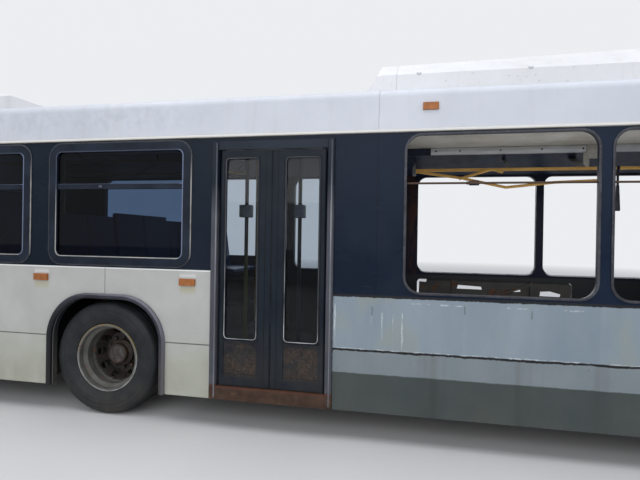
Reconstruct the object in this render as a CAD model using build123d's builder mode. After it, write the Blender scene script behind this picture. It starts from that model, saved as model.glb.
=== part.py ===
"""Low-floor city bus, 12 m, two doors on the right side.

Millimetres. +X is forward, +Y is the left side, +Z is up. The origin is on the ground under
the middle of the bus. The air suspension is let down, so the body sits low over its wheels.
"""

import math
import os

from build123d import *

os.makedirs("parts", exist_ok=True)

# Body outline
body_front = 6100
body_rear = -6100
half_width = 1295
skirt_z = 240
belt_rear_z = 1300
belt_front_z = 1150
cove_z = 2400
roof_edge_z = 2735
roof_crown_z = 2885
cove_lean = 25
wall = 60
front_bulge = 60
front_corner = 250
rear_corner = 110
rake_start_z = 1050
rake = 85
front_brow = 190
rear_brow = 130
cap_front_x = body_front - 320
cap_rear_x = body_rear + 200
roof_edge_radius = 85
skin_side_y = 1180

# Floor and frame
floor_z = 360
step_z = 580
rear_floor_z = 800
bench_floor_z = 1150
slab = 40
rail_y = 430
rail_size = 80

# Wheels
front_axle_x = 3900
rear_axle_x = -3190
tyre_radius = 495
tyre_width = 300
bead_radius = 286
rim_lip = 298
rim_width = 236
front_wheel_y = 1090
kingpin_y = 990
rear_wheel_y = 1115
dual_spacing = 335
hub_bore_gap = 0.5

# Wheel arches
rear_arch_half = 530
front_arch_half = 578
rear_arch_shift = 25
arch_top_z = 1025
arch_corner = 365
trim_width = 45
trim_proud = 40

# Glass
window_head_z = 2380
window_corner = 120
front_sill_z = 1176
rear_sill_z = 1322
transom_z = 2004
transom_height = 44
frame_width = 74
bare_frame_width = 12
frame_proud = 12
pane = 6
pane_depth = 8

# Doors
portal_top_z = 2365
portal_bottom_z = 245
threshold_z = 352
leaf_top_z = 2297
post_width = 55
post_proud = 26
leaf_thick = 40
leaf_recess = 4
hinge_inset = 30
hinge_radius = 18
leaf_gap = 8
pivot_gap = 0.3
seam_gap = 10
glass_top_z = 2236
glass_bottom_z = 737
kick_bottom_z = 452
outer_stile = 26
inner_stile = 104

side_face = -half_width


def save(part, name):
    """Writes one finished piece under its own name."""
    part.label = name
    export_step(part, f"parts/{name}.step")


def body_form(inset, base_z):
    """The body's outer form with every face set in: section, side view and plan, intersected."""
    side = half_width - inset
    edge = side - cove_lean
    with BuildPart() as form:
        with BuildSketch(Plane.YZ.offset(body_rear - wall)) as section:
            with BuildLine():
                Polyline((-edge, roof_edge_z - inset), (-side, cove_z), (-side, base_z), (side, base_z),
                         (side, cove_z), (edge, roof_edge_z - inset))
                ThreePointArc((edge, roof_edge_z - inset), (0, roof_crown_z - inset),
                              (-edge, roof_edge_z - inset))
            make_face()
            brow = section.vertices().group_by(Axis.Y)[-1]
            fillet(brow, roof_edge_radius - inset)
        extrude(amount=body_front - body_rear + 2 * wall)
        with BuildSketch(Plane.XZ) as profile:
            with BuildLine():
                Polyline((body_rear + inset, base_z), (body_front - inset, base_z),
                         (body_front - inset, rake_start_z), (body_front - rake - inset, roof_crown_z - inset),
                         (body_rear + inset, roof_crown_z - inset), close=True)
            make_face()
            top = profile.vertices().group_by(Axis.Y)[-1].sort_by(Axis.X)
            fillet(top[-1], front_brow - inset)
            top = profile.vertices().group_by(Axis.Y)[-1].sort_by(Axis.X)
            fillet(top[0], rear_brow - inset)
        extrude(amount=half_width + 2 * wall, both=True, mode=Mode.INTERSECT)
        with BuildSketch(Plane.XY.offset(base_z)) as plan:
            shoulder = body_front - inset - front_bulge
            with BuildLine():
                Polyline((shoulder, side), (body_rear + inset, side), (body_rear + inset, -side),
                         (shoulder, -side))
                ThreePointArc((shoulder, -side), (body_front - inset, 0), (shoulder, side))
            make_face()
            ends = plan.vertices().sort_by(Axis.X)
            fillet(ends[-2:], front_corner - inset)
            ends = plan.vertices().sort_by(Axis.X)
            fillet(ends[:2], rear_corner - inset)
        extrude(amount=roof_crown_z, mode=Mode.INTERSECT)
    return form.part


def shell_between(outer_inset, inner_inset):
    """A skin between two insets of the body's form, open at the bottom."""
    with BuildPart() as skin:
        add(body_form(outer_inset, skirt_z))
        add(body_form(inner_inset, skirt_z - wall), mode=Mode.SUBTRACT)
    return skin.part


def block(low, high, mode=Mode.ADD):
    """A box between two corners, added to the part being built."""
    centre = [(a + b) / 2 for a, b in zip(low, high)]
    with Locations(tuple(centre)):
        Box(*[b - a for a, b in zip(low, high)], mode=mode)


def keep(low, high):
    """Cuts the part being built down to a box."""
    block(low, high, mode=Mode.INTERSECT)


# Window tables. Columns: rear edge x, width, sill z, framed, glazed
right_windows = [
    (-5312, 1366, rear_sill_z, True, True),
    (-3741, 1366, rear_sill_z, True, True),
    (-600, 1346, front_sill_z, False, False),
    (838, 1350, front_sill_z, False, False),
    (2280, 1350, front_sill_z, True, True),
    (3720, 680, front_sill_z, True, True),
]
left_windows = [
    (-5020, 1350, rear_sill_z, True, False),
    (-3580, 1322, rear_sill_z, True, False),
    (-2179, 1389, front_sill_z, True, False),
    (-575, 1412, front_sill_z, True, False),
    (897, 1343, front_sill_z, True, False),
    (2330, 1350, front_sill_z, True, True),
    (3770, 640, front_sill_z, True, True),
    (4590, 1050, 1010, True, True),
]

# Door table. Columns: portal's rear edge x, portal width
doors = {"rear": (-2180, 1030), "front": (4560, 1080)}

# Belt steps. Columns: side, start x, end x, belt z
belt_steps = [
    (-1, cap_rear_x, -1150, belt_rear_z),
    (-1, -1150, cap_front_x, belt_front_z),
    (1, cap_rear_x, -2218, belt_rear_z),
    (1, -2218, 4500, belt_front_z),
    (1, 4500, cap_front_x, 980),
]


def side_plane(side, y):
    """A sketch plane on one side, seen from outside the right or through from the left, at |y|."""
    return Plane.XZ.offset(-side * y)


def side_region(below):
    """Boxes over both side walls, either below the belt or from the belt up to the cove."""
    with BuildPart() as region:
        for side, start, end, belt in belt_steps:
            y0, y1 = sorted((side * half_width / 2, side * (half_width + wall)))
            low, high = (skirt_z, belt) if below else (belt, cove_z)
            block((start, y0, low), (end, y1, high))
    return region.part


def cut_windows(side, windows):
    """Cuts a row of round-cornered window openings through one side wall."""
    for x, width, sill, _, _ in windows:
        with BuildSketch(side_plane(side, half_width + wall)) as opening:
            with Locations((x + width / 2, (sill + window_head_z) / 2)):
                RectangleRounded(width, window_head_z - sill, window_corner)
        extrude(opening.sketch, amount=side * 3 * wall, mode=Mode.SUBTRACT)


def cut_seams(seams):
    """Cuts shallow grooves where the skin's panels meet."""
    for side, x0, x1, z0, z1 in seams:
        y0, y1 = sorted((side * (half_width + 1), side * (half_width - seam_depth)))
        block((x0, y0, z0), (x1, y1, z1), mode=Mode.SUBTRACT)


def cut_doorways():
    """Cuts both door portals out of the right wall."""
    for x, width in doors.values():
        block((x, -half_width - wall, portal_bottom_z), (x + width, -half_width + 2 * wall, portal_top_z),
              mode=Mode.SUBTRACT)


def arch_outline(x, half, grow):
    """The flat-topped wheel arch as a sketch shape whose lower end runs below the skirt."""
    top, bottom = arch_top_z + grow, skirt_z - arch_corner - 2 * trim_width
    with Locations((x, (top + bottom) / 2)):
        RectangleRounded(2 * (half + grow), top - bottom, arch_corner + grow)


arches = [(rear_axle_x + rear_arch_shift, rear_arch_half), (front_axle_x, front_arch_half)]
body_skin = shell_between(0, wall)

# Panel seams. Columns: side, start x, end x, low z, high z
seam, seam_depth = 5, 5
flank_seams = [
    (-1, cap_rear_x, -3700, 677, 677 + seam),
    (-1, -2620, -2180, 677, 677 + seam),
    (-1, -3178, -3178 + seam, 1030, belt_rear_z + 1),
    (-1, -4900, -4900 + seam, skirt_z - 1, belt_rear_z + 1),
    (-1, -1150, 3300, 715, 715 + seam),
    (-1, 1420, 1420 + seam, skirt_z - 1, belt_front_z + 1),
    (-1, 2830, 2830 + seam, skirt_z - 1, belt_front_z + 1),
    (1, cap_rear_x, -3700, 677, 677 + seam),
    (1, -2620, 3300, 677, 677 + seam),
    (1, 4500, cap_front_x, 677, 677 + seam),
    (1, -4900, -4900 + seam, skirt_z - 1, belt_rear_z + 1),
    (1, -3178, -3178 + seam, 1030, belt_rear_z + 1),
    (1, -2000, -2000 + seam, skirt_z - 1, belt_front_z + 1),
    (1, 1420, 1420 + seam, skirt_z - 1, belt_front_z + 1),
    (1, 2830, 2830 + seam, skirt_z - 1, belt_front_z + 1),
]

# Lower side panels: flat skirts and flanks, cut for the wheel arches and the doors
left_gap = (-560, 1240, 790, 1095)
gap_corner = 40
with BuildPart() as lower_side_panels:
    add(body_skin)
    add(side_region(True), mode=Mode.INTERSECT)
    cut_doorways()
    with BuildSketch(Plane.XZ.offset(-half_width - wall)):
        for x, half in arches:
            arch_outline(x, half, 0)
    extrude(amount=2 * (half_width + wall), mode=Mode.SUBTRACT)
    gap_x0, gap_x1, gap_z0, gap_z1 = left_gap
    with BuildSketch(side_plane(1, half_width + wall)):
        with Locations(((gap_x0 + gap_x1) / 2, (gap_z0 + gap_z1) / 2)):
            RectangleRounded(gap_x1 - gap_x0, gap_z1 - gap_z0, gap_corner)
    extrude(amount=3 * wall, mode=Mode.SUBTRACT)
    cut_seams(flank_seams)
save(lower_side_panels.part, "lower_side_panels")

# Side frame: the left wall's tubes that the missing panel leaves bare, and what is left of the
# black sheet behind them, torn away at one corner and along the foot of the view
post_size = 40
sheet, sheet_edge = 4, 3
brace_rise = gap_z1 - 50
with BuildPart() as side_frame:
    with BuildSketch(side_plane(1, half_width - 12)):
        for x in (gap_x0 + 440, gap_x0 + 1354):
            with Locations((x, (gap_z0 + gap_z1) / 2)):
                Rectangle(post_size, gap_z1 - gap_z0)
        with BuildLine():
            Polyline((gap_x0 + 580, gap_z0), (gap_x0 + 640, gap_z0), (gap_x0 + 1334, brace_rise),
                     (gap_x0 + 1334, gap_z1 - 12), close=True)
        make_face()
    extrude(amount=wall - 12)
    with BuildSketch(side_plane(1, half_width - 12 + sheet)) as backing:
        with BuildLine():
            Polyline((gap_x0 + 30, gap_z0 + sheet_edge), (gap_x0 + 22, gap_z0 + 150), (gap_x0 + 27, gap_z1 - 34),
                     (gap_x0 + 112, gap_z1 - 38), (gap_x0 + 118, gap_z1 - sheet_edge),
                     (gap_x1 - sheet_edge, gap_z1 - sheet_edge), (gap_x1 - sheet_edge, gap_z0 + sheet_edge),
                     close=True)
        make_face()
        with Locations(((gap_x0 + gap_x1) / 2, (gap_z0 + gap_z1) / 2)):
            RectangleRounded(gap_x1 - gap_x0 - 2 * sheet_edge, gap_z1 - gap_z0 - 2 * sheet_edge, gap_corner,
                             mode=Mode.INTERSECT)
        with BuildLine():
            Polyline((gap_x0 + 487, 986), (gap_x0 + 500, 1031), (gap_x0 + 775, 1018), (gap_x0 + 783, 983),
                     close=True)
        make_face(mode=Mode.SUBTRACT)
        with BuildLine():
            Polyline((gap_x0 + 1136, 968), (gap_x0 + 1142, 992), (gap_x0 + 1228, 1000), (gap_x0 + 1232, 974),
                     close=True)
        make_face(mode=Mode.SUBTRACT)
        with BuildLine():
            Polyline((gap_x0 + 1450, 930), (gap_x0 + 1454, 982), (gap_x0 + 1560, 990), (gap_x0 + 1680, 958),
                     (gap_x0 + 1674, 927), close=True)
        make_face(mode=Mode.SUBTRACT)
    extrude(backing.sketch, amount=sheet + 2)
save(side_frame.part, "side_frame")

# Window bands: from the belt to the cove, one on each side
with BuildPart() as window_bands:
    add(body_skin)
    add(side_region(False), mode=Mode.INTERSECT)
    cut_doorways()
    cut_windows(-1, right_windows)
    cut_windows(1, left_windows)
save(window_bands.part, "window_bands")

# Cove panels: the pale upper sides, with a drip lip along the foot and seams up to the roof edge
lip_height = 26
lip_proud = 14
with BuildPart() as cove_seams:
    add(shell_between(0, seam_depth))
    with BuildPart(mode=Mode.INTERSECT):
        for x in (-4400, -815, 2450):
            block((x, -half_width, cove_z + lip_height), (x + seam, half_width, roof_crown_z))
with BuildPart() as cove_panels:
    add(body_skin)
    keep((cap_rear_x, -half_width, cove_z), (cap_front_x, half_width, roof_crown_z))
    block((cap_rear_x, -skin_side_y, cove_z - wall), (cap_front_x, skin_side_y, roof_crown_z + wall),
          mode=Mode.SUBTRACT)
    for side in (-1, 1):
        with BuildSketch(Plane.YZ.offset(cap_rear_x)):
            with BuildLine():
                Polyline((side * half_width, cove_z), (side * (half_width + lip_proud), cove_z + 4),
                         (side * (half_width + lip_proud), cove_z + lip_height / 2),
                         (side * (half_width - 3), cove_z + lip_height), (side * (half_width - 12), cove_z),
                         close=True)
            make_face()
        extrude(amount=cap_front_x - cap_rear_x)
    add(cove_seams.part, mode=Mode.SUBTRACT)
save(cove_panels.part, "cove_panels")

# Roof skin: domed, with a raised curb round the hatch
hatch_x0, hatch_x1, hatch_half = -2600, -1900, 330
curb = 45
curb_top_z = roof_crown_z + 22
with BuildPart() as roof_skin:
    add(body_skin)
    keep((cap_rear_x, -skin_side_y, cove_z), (cap_front_x, skin_side_y, roof_crown_z + wall))
    block((hatch_x0 - curb, -hatch_half - curb, roof_crown_z - wall + 12),
          (hatch_x1 + curb, hatch_half + curb, curb_top_z))
    block((hatch_x0, -hatch_half, cove_z), (hatch_x1, hatch_half, roof_crown_z + 2 * wall), mode=Mode.SUBTRACT)
save(roof_skin.part, "roof_skin")

# Roof hatch: a shallow pressed lid on the curb, hinged along its front edge
lid_thick = 34
lid_over = 20
with BuildPart() as roof_hatch:
    with BuildSketch(Plane.XY.offset(curb_top_z + pivot_gap)):
        with Locations(((hatch_x0 + hatch_x1) / 2, 0)):
            RectangleRounded(hatch_x1 - hatch_x0 + 2 * (curb - lid_over), 2 * (hatch_half + curb - lid_over), 40)
    extrude(amount=lid_thick)
    chamfer(roof_hatch.faces().sort_by(Axis.Z)[-1].edges(), 14)
    with BuildSketch(Plane.XY.offset(curb_top_z)):
        with Locations(((hatch_x0 + hatch_x1) / 2, 0)):
            RectangleRounded(hatch_x1 - hatch_x0 - 30, 2 * hatch_half - 30, 30)
    extrude(amount=20, mode=Mode.SUBTRACT)
save(roof_hatch.part, "roof_hatch")

# Front cap: one moulding round both front corners, with windscreen and sign openings
screen_sill_z, screen_head_z = 1120, 2330
screen_half, screen_post = 1060, 30
sign_z0, sign_z1, sign_half = 2425, 2665, 820
with BuildPart() as front_cap:
    add(body_skin)
    keep((cap_front_x, -half_width, skirt_z), (body_front, half_width, roof_crown_z))
    with BuildSketch(Plane.YZ.offset(cap_front_x)):
        for side in (-1, 1):
            with Locations((side * (screen_half + screen_post) / 2, (screen_sill_z + screen_head_z) / 2)):
                RectangleRounded(screen_half - screen_post, screen_head_z - screen_sill_z, 90)
        with Locations((0, (sign_z0 + sign_z1) / 2)):
            RectangleRounded(2 * sign_half, sign_z1 - sign_z0, 50)
    extrude(amount=body_front - cap_front_x, mode=Mode.SUBTRACT)
save(front_cap.part, "front_cap")

# Windscreen panes and sign glass: thin shells that fill the front cap's openings
with BuildPart() as windscreen_panes:
    add(shell_between(10, 10 + pane))
    keep((cap_front_x, -half_width, skirt_z), (body_front, half_width, roof_crown_z))
    with BuildSketch(Plane.YZ.offset(cap_front_x)):
        for side in (-1, 1):
            with Locations((side * (screen_half + screen_post) / 2, (screen_sill_z + screen_head_z) / 2)):
                RectangleRounded(screen_half - screen_post, screen_head_z - screen_sill_z, 90)
        with Locations((0, (sign_z0 + sign_z1) / 2)):
            RectangleRounded(2 * sign_half, sign_z1 - sign_z0, 50)
    extrude(amount=body_front - cap_front_x, mode=Mode.INTERSECT)
save(windscreen_panes.part, "windscreen_panes")

# Rear cap: flat end wall with round corners, cut for the engine door
engine_door_half, engine_door_z0, engine_door_z1 = 860, 600, 1290
with BuildPart() as rear_cap:
    add(body_skin)
    keep((body_rear, -half_width, skirt_z), (cap_rear_x, half_width, roof_crown_z))
    block((body_rear, -engine_door_half, engine_door_z0),
          (body_rear + wall, engine_door_half, engine_door_z1), mode=Mode.SUBTRACT)
save(rear_cap.part, "rear_cap")

# Engine door: a top-hung panel with a louvred grille
louvre_count = 9
louvre_pitch = 44
louvre_half = 560
door_skin_x = body_rear + leaf_recess
with BuildPart() as engine_door:
    hinge_z = engine_door_z1 - hinge_inset
    hinge_x = door_skin_x + hinge_radius
    block((door_skin_x, -engine_door_half + leaf_gap, engine_door_z0 + leaf_gap),
          (door_skin_x + leaf_thick, engine_door_half - leaf_gap, hinge_z))
    grille_z = engine_door_z0 + 110
    block((door_skin_x - 1, -louvre_half, grille_z),
          (door_skin_x + leaf_thick + 1, louvre_half, grille_z + louvre_count * louvre_pitch), mode=Mode.SUBTRACT)
    for n in range(louvre_count):
        with BuildSketch(Plane.XZ.offset(-louvre_half)):
            base = grille_z + 5 + n * louvre_pitch
            x0, x1 = door_skin_x + 2, door_skin_x + leaf_thick - 2
            with BuildLine():
                Polyline((x0, base + 2), (x0 + 6, base), (x1, base + 32), (x1 - 6, base + 34), close=True)
            make_face()
        extrude(amount=2 * louvre_half)
    for y in (-louvre_half / 3, louvre_half / 3):
        block((door_skin_x + 26, y - 8, grille_z),
              (door_skin_x + leaf_thick - 1, y + 8, grille_z + louvre_count * louvre_pitch))
    with Locations(Location((hinge_x, 0, hinge_z), (90, 0, 0))):
        Cylinder(hinge_radius, 2 * (engine_door_half - pivot_gap))
save(engine_door.part, "engine_door")

# Window frames: a rubber and metal ring in each glazed opening, with a bar under the vent
def ring(x, width, sill, border, y, thick, side):
    """A rounded frame on one side wall, from |y| inwards by thick."""
    with BuildSketch(side_plane(side, y)) as outline:
        with Locations((x + width / 2, (sill + window_head_z) / 2)):
            RectangleRounded(width, window_head_z - sill, window_corner)
            RectangleRounded(width - 2 * border, window_head_z - sill - 2 * border, window_corner - border,
                             mode=Mode.SUBTRACT)
    extrude(outline.sketch, amount=side * thick)


rest_bar = 8
rest_bar_z = 2013
with BuildPart() as window_frames:
    for side, windows in ((-1, right_windows), (1, left_windows)):
        y0, y1 = sorted((side * (half_width + 2), side * (half_width - 40)))
        for x, width, sill, framed, glazed in windows:
            if framed:
                border = frame_width if glazed else bare_frame_width
                ring(x, width, sill, border, half_width + frame_proud, wall + frame_proud, side)
            else:
                with Locations(Location((x + width / 2, side * (half_width - 30), rest_bar_z), (0, 90, 0))):
                    Cylinder(rest_bar, width)
            if glazed:
                block((x + frame_width / 2, y0, transom_z - transom_height / 2),
                      (x + width - frame_width / 2, y1, transom_z + transom_height / 2))
save(window_frames.part, "window_frames")

# Window panes: a fixed lower light and a tip-in vent above the bar in each glazed frame
with BuildPart() as window_panes:
    for side, windows in ((-1, right_windows), (1, left_windows)):
        for x, width, sill, _, glazed in windows:
            if glazed:
                with BuildSketch(side_plane(side, half_width - pane_depth)):
                    with Locations((x + width / 2, (sill + window_head_z) / 2)):
                        RectangleRounded(width - 2 * frame_width, window_head_z - sill - 2 * frame_width,
                                         window_corner - frame_width)
                    with Locations((x + width / 2, transom_z)):
                        Rectangle(width, transom_height, mode=Mode.SUBTRACT)
                extrude(amount=side * pane)
save(window_panes.part, "window_panes")

# Arch trims: rubber lips round the four wheel arches
with BuildPart() as arch_trims:
    for side in (-1, 1):
        for x, half in arches:
            with BuildSketch(side_plane(side, half_width + trim_proud)):
                arch_outline(x, half, trim_width)
                with Locations((x, skirt_z - arch_corner)):
                    Rectangle(4 * half, 2 * arch_corner, mode=Mode.SUBTRACT)
            extrude(amount=side * trim_proud)
            with BuildSketch(side_plane(side, half_width + trim_proud)):
                arch_outline(x, half, 0)
            extrude(amount=side * trim_proud, mode=Mode.SUBTRACT)
    outer_rims = arch_trims.faces().filter_by(Axis.Y).filter_by(lambda f: abs(f.center().Y) > half_width + 1)
    chamfer(outer_rims.edges().filter_by(lambda e: e.center().Z > skirt_z + 1), 13)
save(arch_trims.part, "arch_trims")

# Door frames: posts, header and threshold as one portal in each doorway
with BuildPart() as door_frames:
    for x, width in doors.values():
        block((x, side_face - post_proud, portal_bottom_z), (x + width, side_face + wall, portal_top_z))
        block((x + post_width, side_face - 2 * wall, threshold_z),
              (x + width - post_width, side_face + 2 * wall, leaf_top_z), mode=Mode.SUBTRACT)
        block((x + post_width, side_face - 2 * wall, leaf_top_z - 1),
              (x + width - post_width, side_face - post_proud / 2, portal_top_z + 1), mode=Mode.SUBTRACT)
    posts = door_frames.edges().filter_by(Axis.Z).filter_by(lambda e: e.center().Y < side_face - post_proud + 1)
    fillet(posts, 12)
save(door_frames.part, "door_frames")


# Door leaves: each hangs on a round post at its outer edge and swings outwards
leaf_outer_y = side_face + leaf_recess
hinge_y = leaf_outer_y + hinge_radius


def leaf_spans(door):
    """Hinge x and free edge x of a door's rear and fore leaves."""
    x, width = doors[door]
    middle = x + width / 2
    return {
        "aft": (x + post_width + hinge_inset, middle - seam_gap / 2),
        "fore": (x + width - post_width - hinge_inset, middle + seam_gap / 2),
    }


def glass_span(hinge, free):
    """Low and high x of a leaf's glass, from its hinge line and its free edge."""
    way = 1 if free > hinge else -1
    ends = (hinge + way * outer_stile, free - way * inner_stile)
    return min(ends), max(ends)


for door in doors:
    for leaf, (hinge, free) in leaf_spans(door).items():
        low, high = glass_span(hinge, free)
        with BuildPart() as door_leaf:
            block((min(hinge, free), leaf_outer_y, threshold_z + leaf_gap),
                  (max(hinge, free), leaf_outer_y + leaf_thick, leaf_top_z - leaf_gap))
            block((low, side_face - wall, glass_bottom_z), (high, side_face + 2 * wall, glass_top_z),
                  mode=Mode.SUBTRACT)
            block((low, side_face - wall, kick_bottom_z), (high, leaf_outer_y + 8, glass_bottom_z - 22),
                  mode=Mode.SUBTRACT)
            block((low, leaf_outer_y + leaf_thick - 12, kick_bottom_z),
                  (high, leaf_outer_y + leaf_thick + wall, glass_bottom_z - 22), mode=Mode.SUBTRACT)
            with Locations((hinge, hinge_y, (threshold_z + leaf_top_z) / 2)):
                Cylinder(hinge_radius, leaf_top_z - threshold_z - 2 * pivot_gap)
        save(door_leaf.part, f"{door}_door_{leaf}_leaf")
        with BuildPart() as leaf_glass:
            block((low, leaf_outer_y + 14, glass_bottom_z), (high, leaf_outer_y + 14 + pane, glass_top_z))
        save(leaf_glass.part, f"{door}_door_{leaf}_glass")

# Bumpers: wrap-round mouldings that stand proud of both ends
bumper_proud = 72
bumper_z0, bumper_z1 = 300, 560
bumper_wrap = 190
with BuildPart() as bumpers:
    add(shell_between(-bumper_proud, 0))
    block((body_rear + bumper_wrap, -2 * half_width, 0), (body_front - bumper_wrap, 2 * half_width, 2 * roof_crown_z),
          mode=Mode.SUBTRACT)
    keep((2 * body_rear, -2 * half_width, bumper_z0), (2 * body_front, 2 * half_width, bumper_z1))
    outer = bumpers.edges().filter_by(lambda e: e.center().X > body_front + 20 or e.center().X < body_rear - 20)
    flat = outer.filter_by(lambda e: abs(e.center().Z - bumper_z0) < 1 or abs(e.center().Z - bumper_z1) < 1)
    chamfer(flat, 22)
save(bumpers.part, "bumpers")

# Roof covers: a long pod over the front half and the air unit's cover at the rear
pod_shoulder_half = 900
pod_rise, pod_shoulder_drop, pod_toe = 185, 192, 15
pod_top_z = roof_crown_z + pod_rise
pod_side_z = pod_top_z - pod_shoulder_drop
pod_wall = 40
pod_base_z = roof_edge_z - 2 * pod_wall
pod_toe_z = roof_edge_z + pod_toe
pod_seam_x = -693


def pod_form(x_rear, x_front, rear_steps, front_steps, inset):
    """A long low block with sloped shoulders and ends; each step is a run in from its end and a height."""
    base, shoulder, top = skin_side_y - inset, pod_shoulder_half - inset, pod_top_z - inset
    x_rear, x_front = x_rear + inset, x_front - inset
    with BuildPart() as cover:
        with BuildSketch(Plane.YZ.offset(x_rear)):
            with BuildLine():
                Polyline((-base, pod_base_z), (-base, pod_side_z - inset / 2), (-shoulder, top),
                         (shoulder, top), (base, pod_side_z - inset / 2), (base, pod_base_z), close=True)
            make_face()
        extrude(amount=x_front - x_rear)
        with BuildSketch(Plane.XZ):
            with BuildLine():
                Polyline((x_rear, pod_base_z), *[(x_rear + run, z - inset) for run, z in rear_steps],
                         *[(x_front - run, z - inset) for run, z in reversed(front_steps)],
                         (x_front, pod_base_z), close=True)
            make_face()
        extrude(amount=2 * half_width, both=True, mode=Mode.INTERSECT)
    return cover.part


def pod(x_rear, x_front, rear_steps, front_steps):
    """A hollow roof cover that stands on the roof skin."""
    with BuildPart() as cover:
        add(pod_form(x_rear, x_front, rear_steps, front_steps, 0))
        add(pod_form(x_rear, x_front, rear_steps, front_steps, pod_wall), mode=Mode.SUBTRACT)
        add(roof_solid, mode=Mode.SUBTRACT)
    return cover.part


roof_solid = body_form(0, skirt_z)
pod_rear_steps = [(0, pod_toe_z), (83, pod_side_z + 10), (103, pod_top_z - 62), (2050, pod_top_z)]
pod_front_steps = [(0, pod_toe_z), (560, pod_top_z - 30), (700, pod_top_z)]
pod_span = (-925, 5150)
with BuildPart() as roof_pod:
    add(pod(*pod_span, pod_rear_steps, pod_front_steps))
    with BuildPart(mode=Mode.SUBTRACT):
        add(pod_form(*pod_span, pod_rear_steps, pod_front_steps, 0))
        add(pod_form(*pod_span, pod_rear_steps, pod_front_steps, seam_depth), mode=Mode.SUBTRACT)
        keep((pod_seam_x, -half_width, roof_edge_z), (pod_seam_x + seam, half_width, 2 * pod_top_z))
save(roof_pod.part, "roof_pod")

fan_count = 3
fan_radius = 215
fan_pitch = 520
fan_x = -5140
with BuildPart() as air_unit_cover:
    add(pod(-5750, -3897, [(0, pod_toe_z), (300, pod_top_z - 20), (340, pod_top_z)],
            [(0, pod_toe_z), (912, pod_top_z - 20), (973, pod_top_z)]))
    with Locations(*[(fan_x, (n - 1) * fan_pitch, pod_top_z) for n in range(fan_count)]):
        Hole(fan_radius, depth=2 * pod_wall)
    with Locations(*[(fan_x, (n - 1) * fan_pitch, pod_top_z - 24) for n in range(fan_count)]):
        Cylinder(60, 24)
    for n in range(fan_count):
        for turn in (0, 60, 120):
            with Locations(Location((fan_x, (n - 1) * fan_pitch, pod_top_z - 20), (0, 0, turn))):
                Box(2 * fan_radius + 8, 14, 10)
save(air_unit_cover.part, "air_unit_cover")

# Wheel housings: steel boxes over the wheels, open below and towards the side panels
housing_wall = 16
housing_top_z = 1062
inner_side_y = half_width - wall
rear_housing_half, front_housing_half = 620, 640
rear_housing_y, front_housing_y = 560, 500
housings = [
    # axle x, half length, inner |y|, floor z there
    (rear_axle_x, rear_housing_half, rear_housing_y, rear_floor_z),
    (front_axle_x, front_housing_half, front_housing_y, floor_z),
]
with BuildPart() as wheel_housings:
    for x, length, inner_y, level in housings:
        for side in (-1, 1):
            y0, y1 = sorted((side * inner_y, side * inner_side_y))
            block((x - length, y0, level - slab), (x + length, y1, housing_top_z))
            y0, y1 = sorted((side * (inner_y + housing_wall), side * half_width))
            block((x - length + housing_wall, y0, 0),
                  (x + length - housing_wall, y1, housing_top_z - housing_wall), mode=Mode.SUBTRACT)
save(wheel_housings.part, "wheel_housings")

# Floor: boards on each level and between the wheel housings, with risers under the steps
board_gap = 0.3
bench_front_x, upper_step_x, lower_step_x = -4850, -2500, -2220
floor_boards = [
    # rear x, front x, top z, half width
    (body_rear + 115, bench_front_x, bench_floor_z, inner_side_y),
    (bench_front_x, rear_axle_x - rear_housing_half, rear_floor_z, inner_side_y),
    (rear_axle_x - rear_housing_half, rear_axle_x + rear_housing_half, rear_floor_z, rear_housing_y),
    (rear_axle_x + rear_housing_half, upper_step_x, rear_floor_z, inner_side_y),
    (upper_step_x, lower_step_x, step_z, inner_side_y),
    (lower_step_x, front_axle_x - front_housing_half, floor_z, inner_side_y),
    (front_axle_x - front_housing_half, front_axle_x + front_housing_half, floor_z, front_housing_y),
    (front_axle_x + front_housing_half, cap_front_x, floor_z, inner_side_y),
    (cap_front_x, body_front - 200, floor_z, 1140),
]
floor_steps = [
    # x, upper z, lower z
    (bench_front_x, bench_floor_z, rear_floor_z),
    (upper_step_x, rear_floor_z, step_z),
    (lower_step_x, step_z, floor_z),
]
with BuildPart() as floor:
    for x0, x1, top, half in floor_boards:
        block((x0, -half, top - slab), (x1 - board_gap, half, top))
    for x, high, low in floor_steps:
        block((x - slab, -inner_side_y, low - slab), (x - board_gap, inner_side_y, high - slab - board_gap))
save(floor.part, "floor")

# Underframe: two rails that drop behind the rear steps, and the front air springs' brackets
rail_rear_x, rail_front_x = body_rear + 120, body_front - 370
kick_x = upper_step_x - slab - rail_size
low_rail_top = floor_z - slab
high_rail_top = rear_floor_z - slab
rail_inner_y, rail_outer_y = rail_y - rail_size / 2, rail_y + rail_size / 2
bellows_front_y = 610
bellows_radius = 82
bracket_z, bracket_height = 640, 50
with BuildPart() as underframe:
    for side in (-1, 1):
        y0, y1 = sorted((side * rail_inner_y, side * rail_outer_y))
        block((rail_rear_x, y0, high_rail_top - rail_size), (kick_x + rail_size, y1, high_rail_top))
        block((kick_x, y0, low_rail_top - rail_size), (kick_x + rail_size, y1, high_rail_top))
        block((kick_x, y0, low_rail_top - rail_size), (rail_front_x, y1, low_rail_top))
        y0, y1 = sorted((side * (front_housing_y + housing_wall), side * (bellows_front_y + bellows_radius)))
        block((front_axle_x - 100, y0, bracket_z), (front_axle_x + 100, y1, bracket_z + bracket_height))
save(underframe.part, "underframe")

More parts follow.
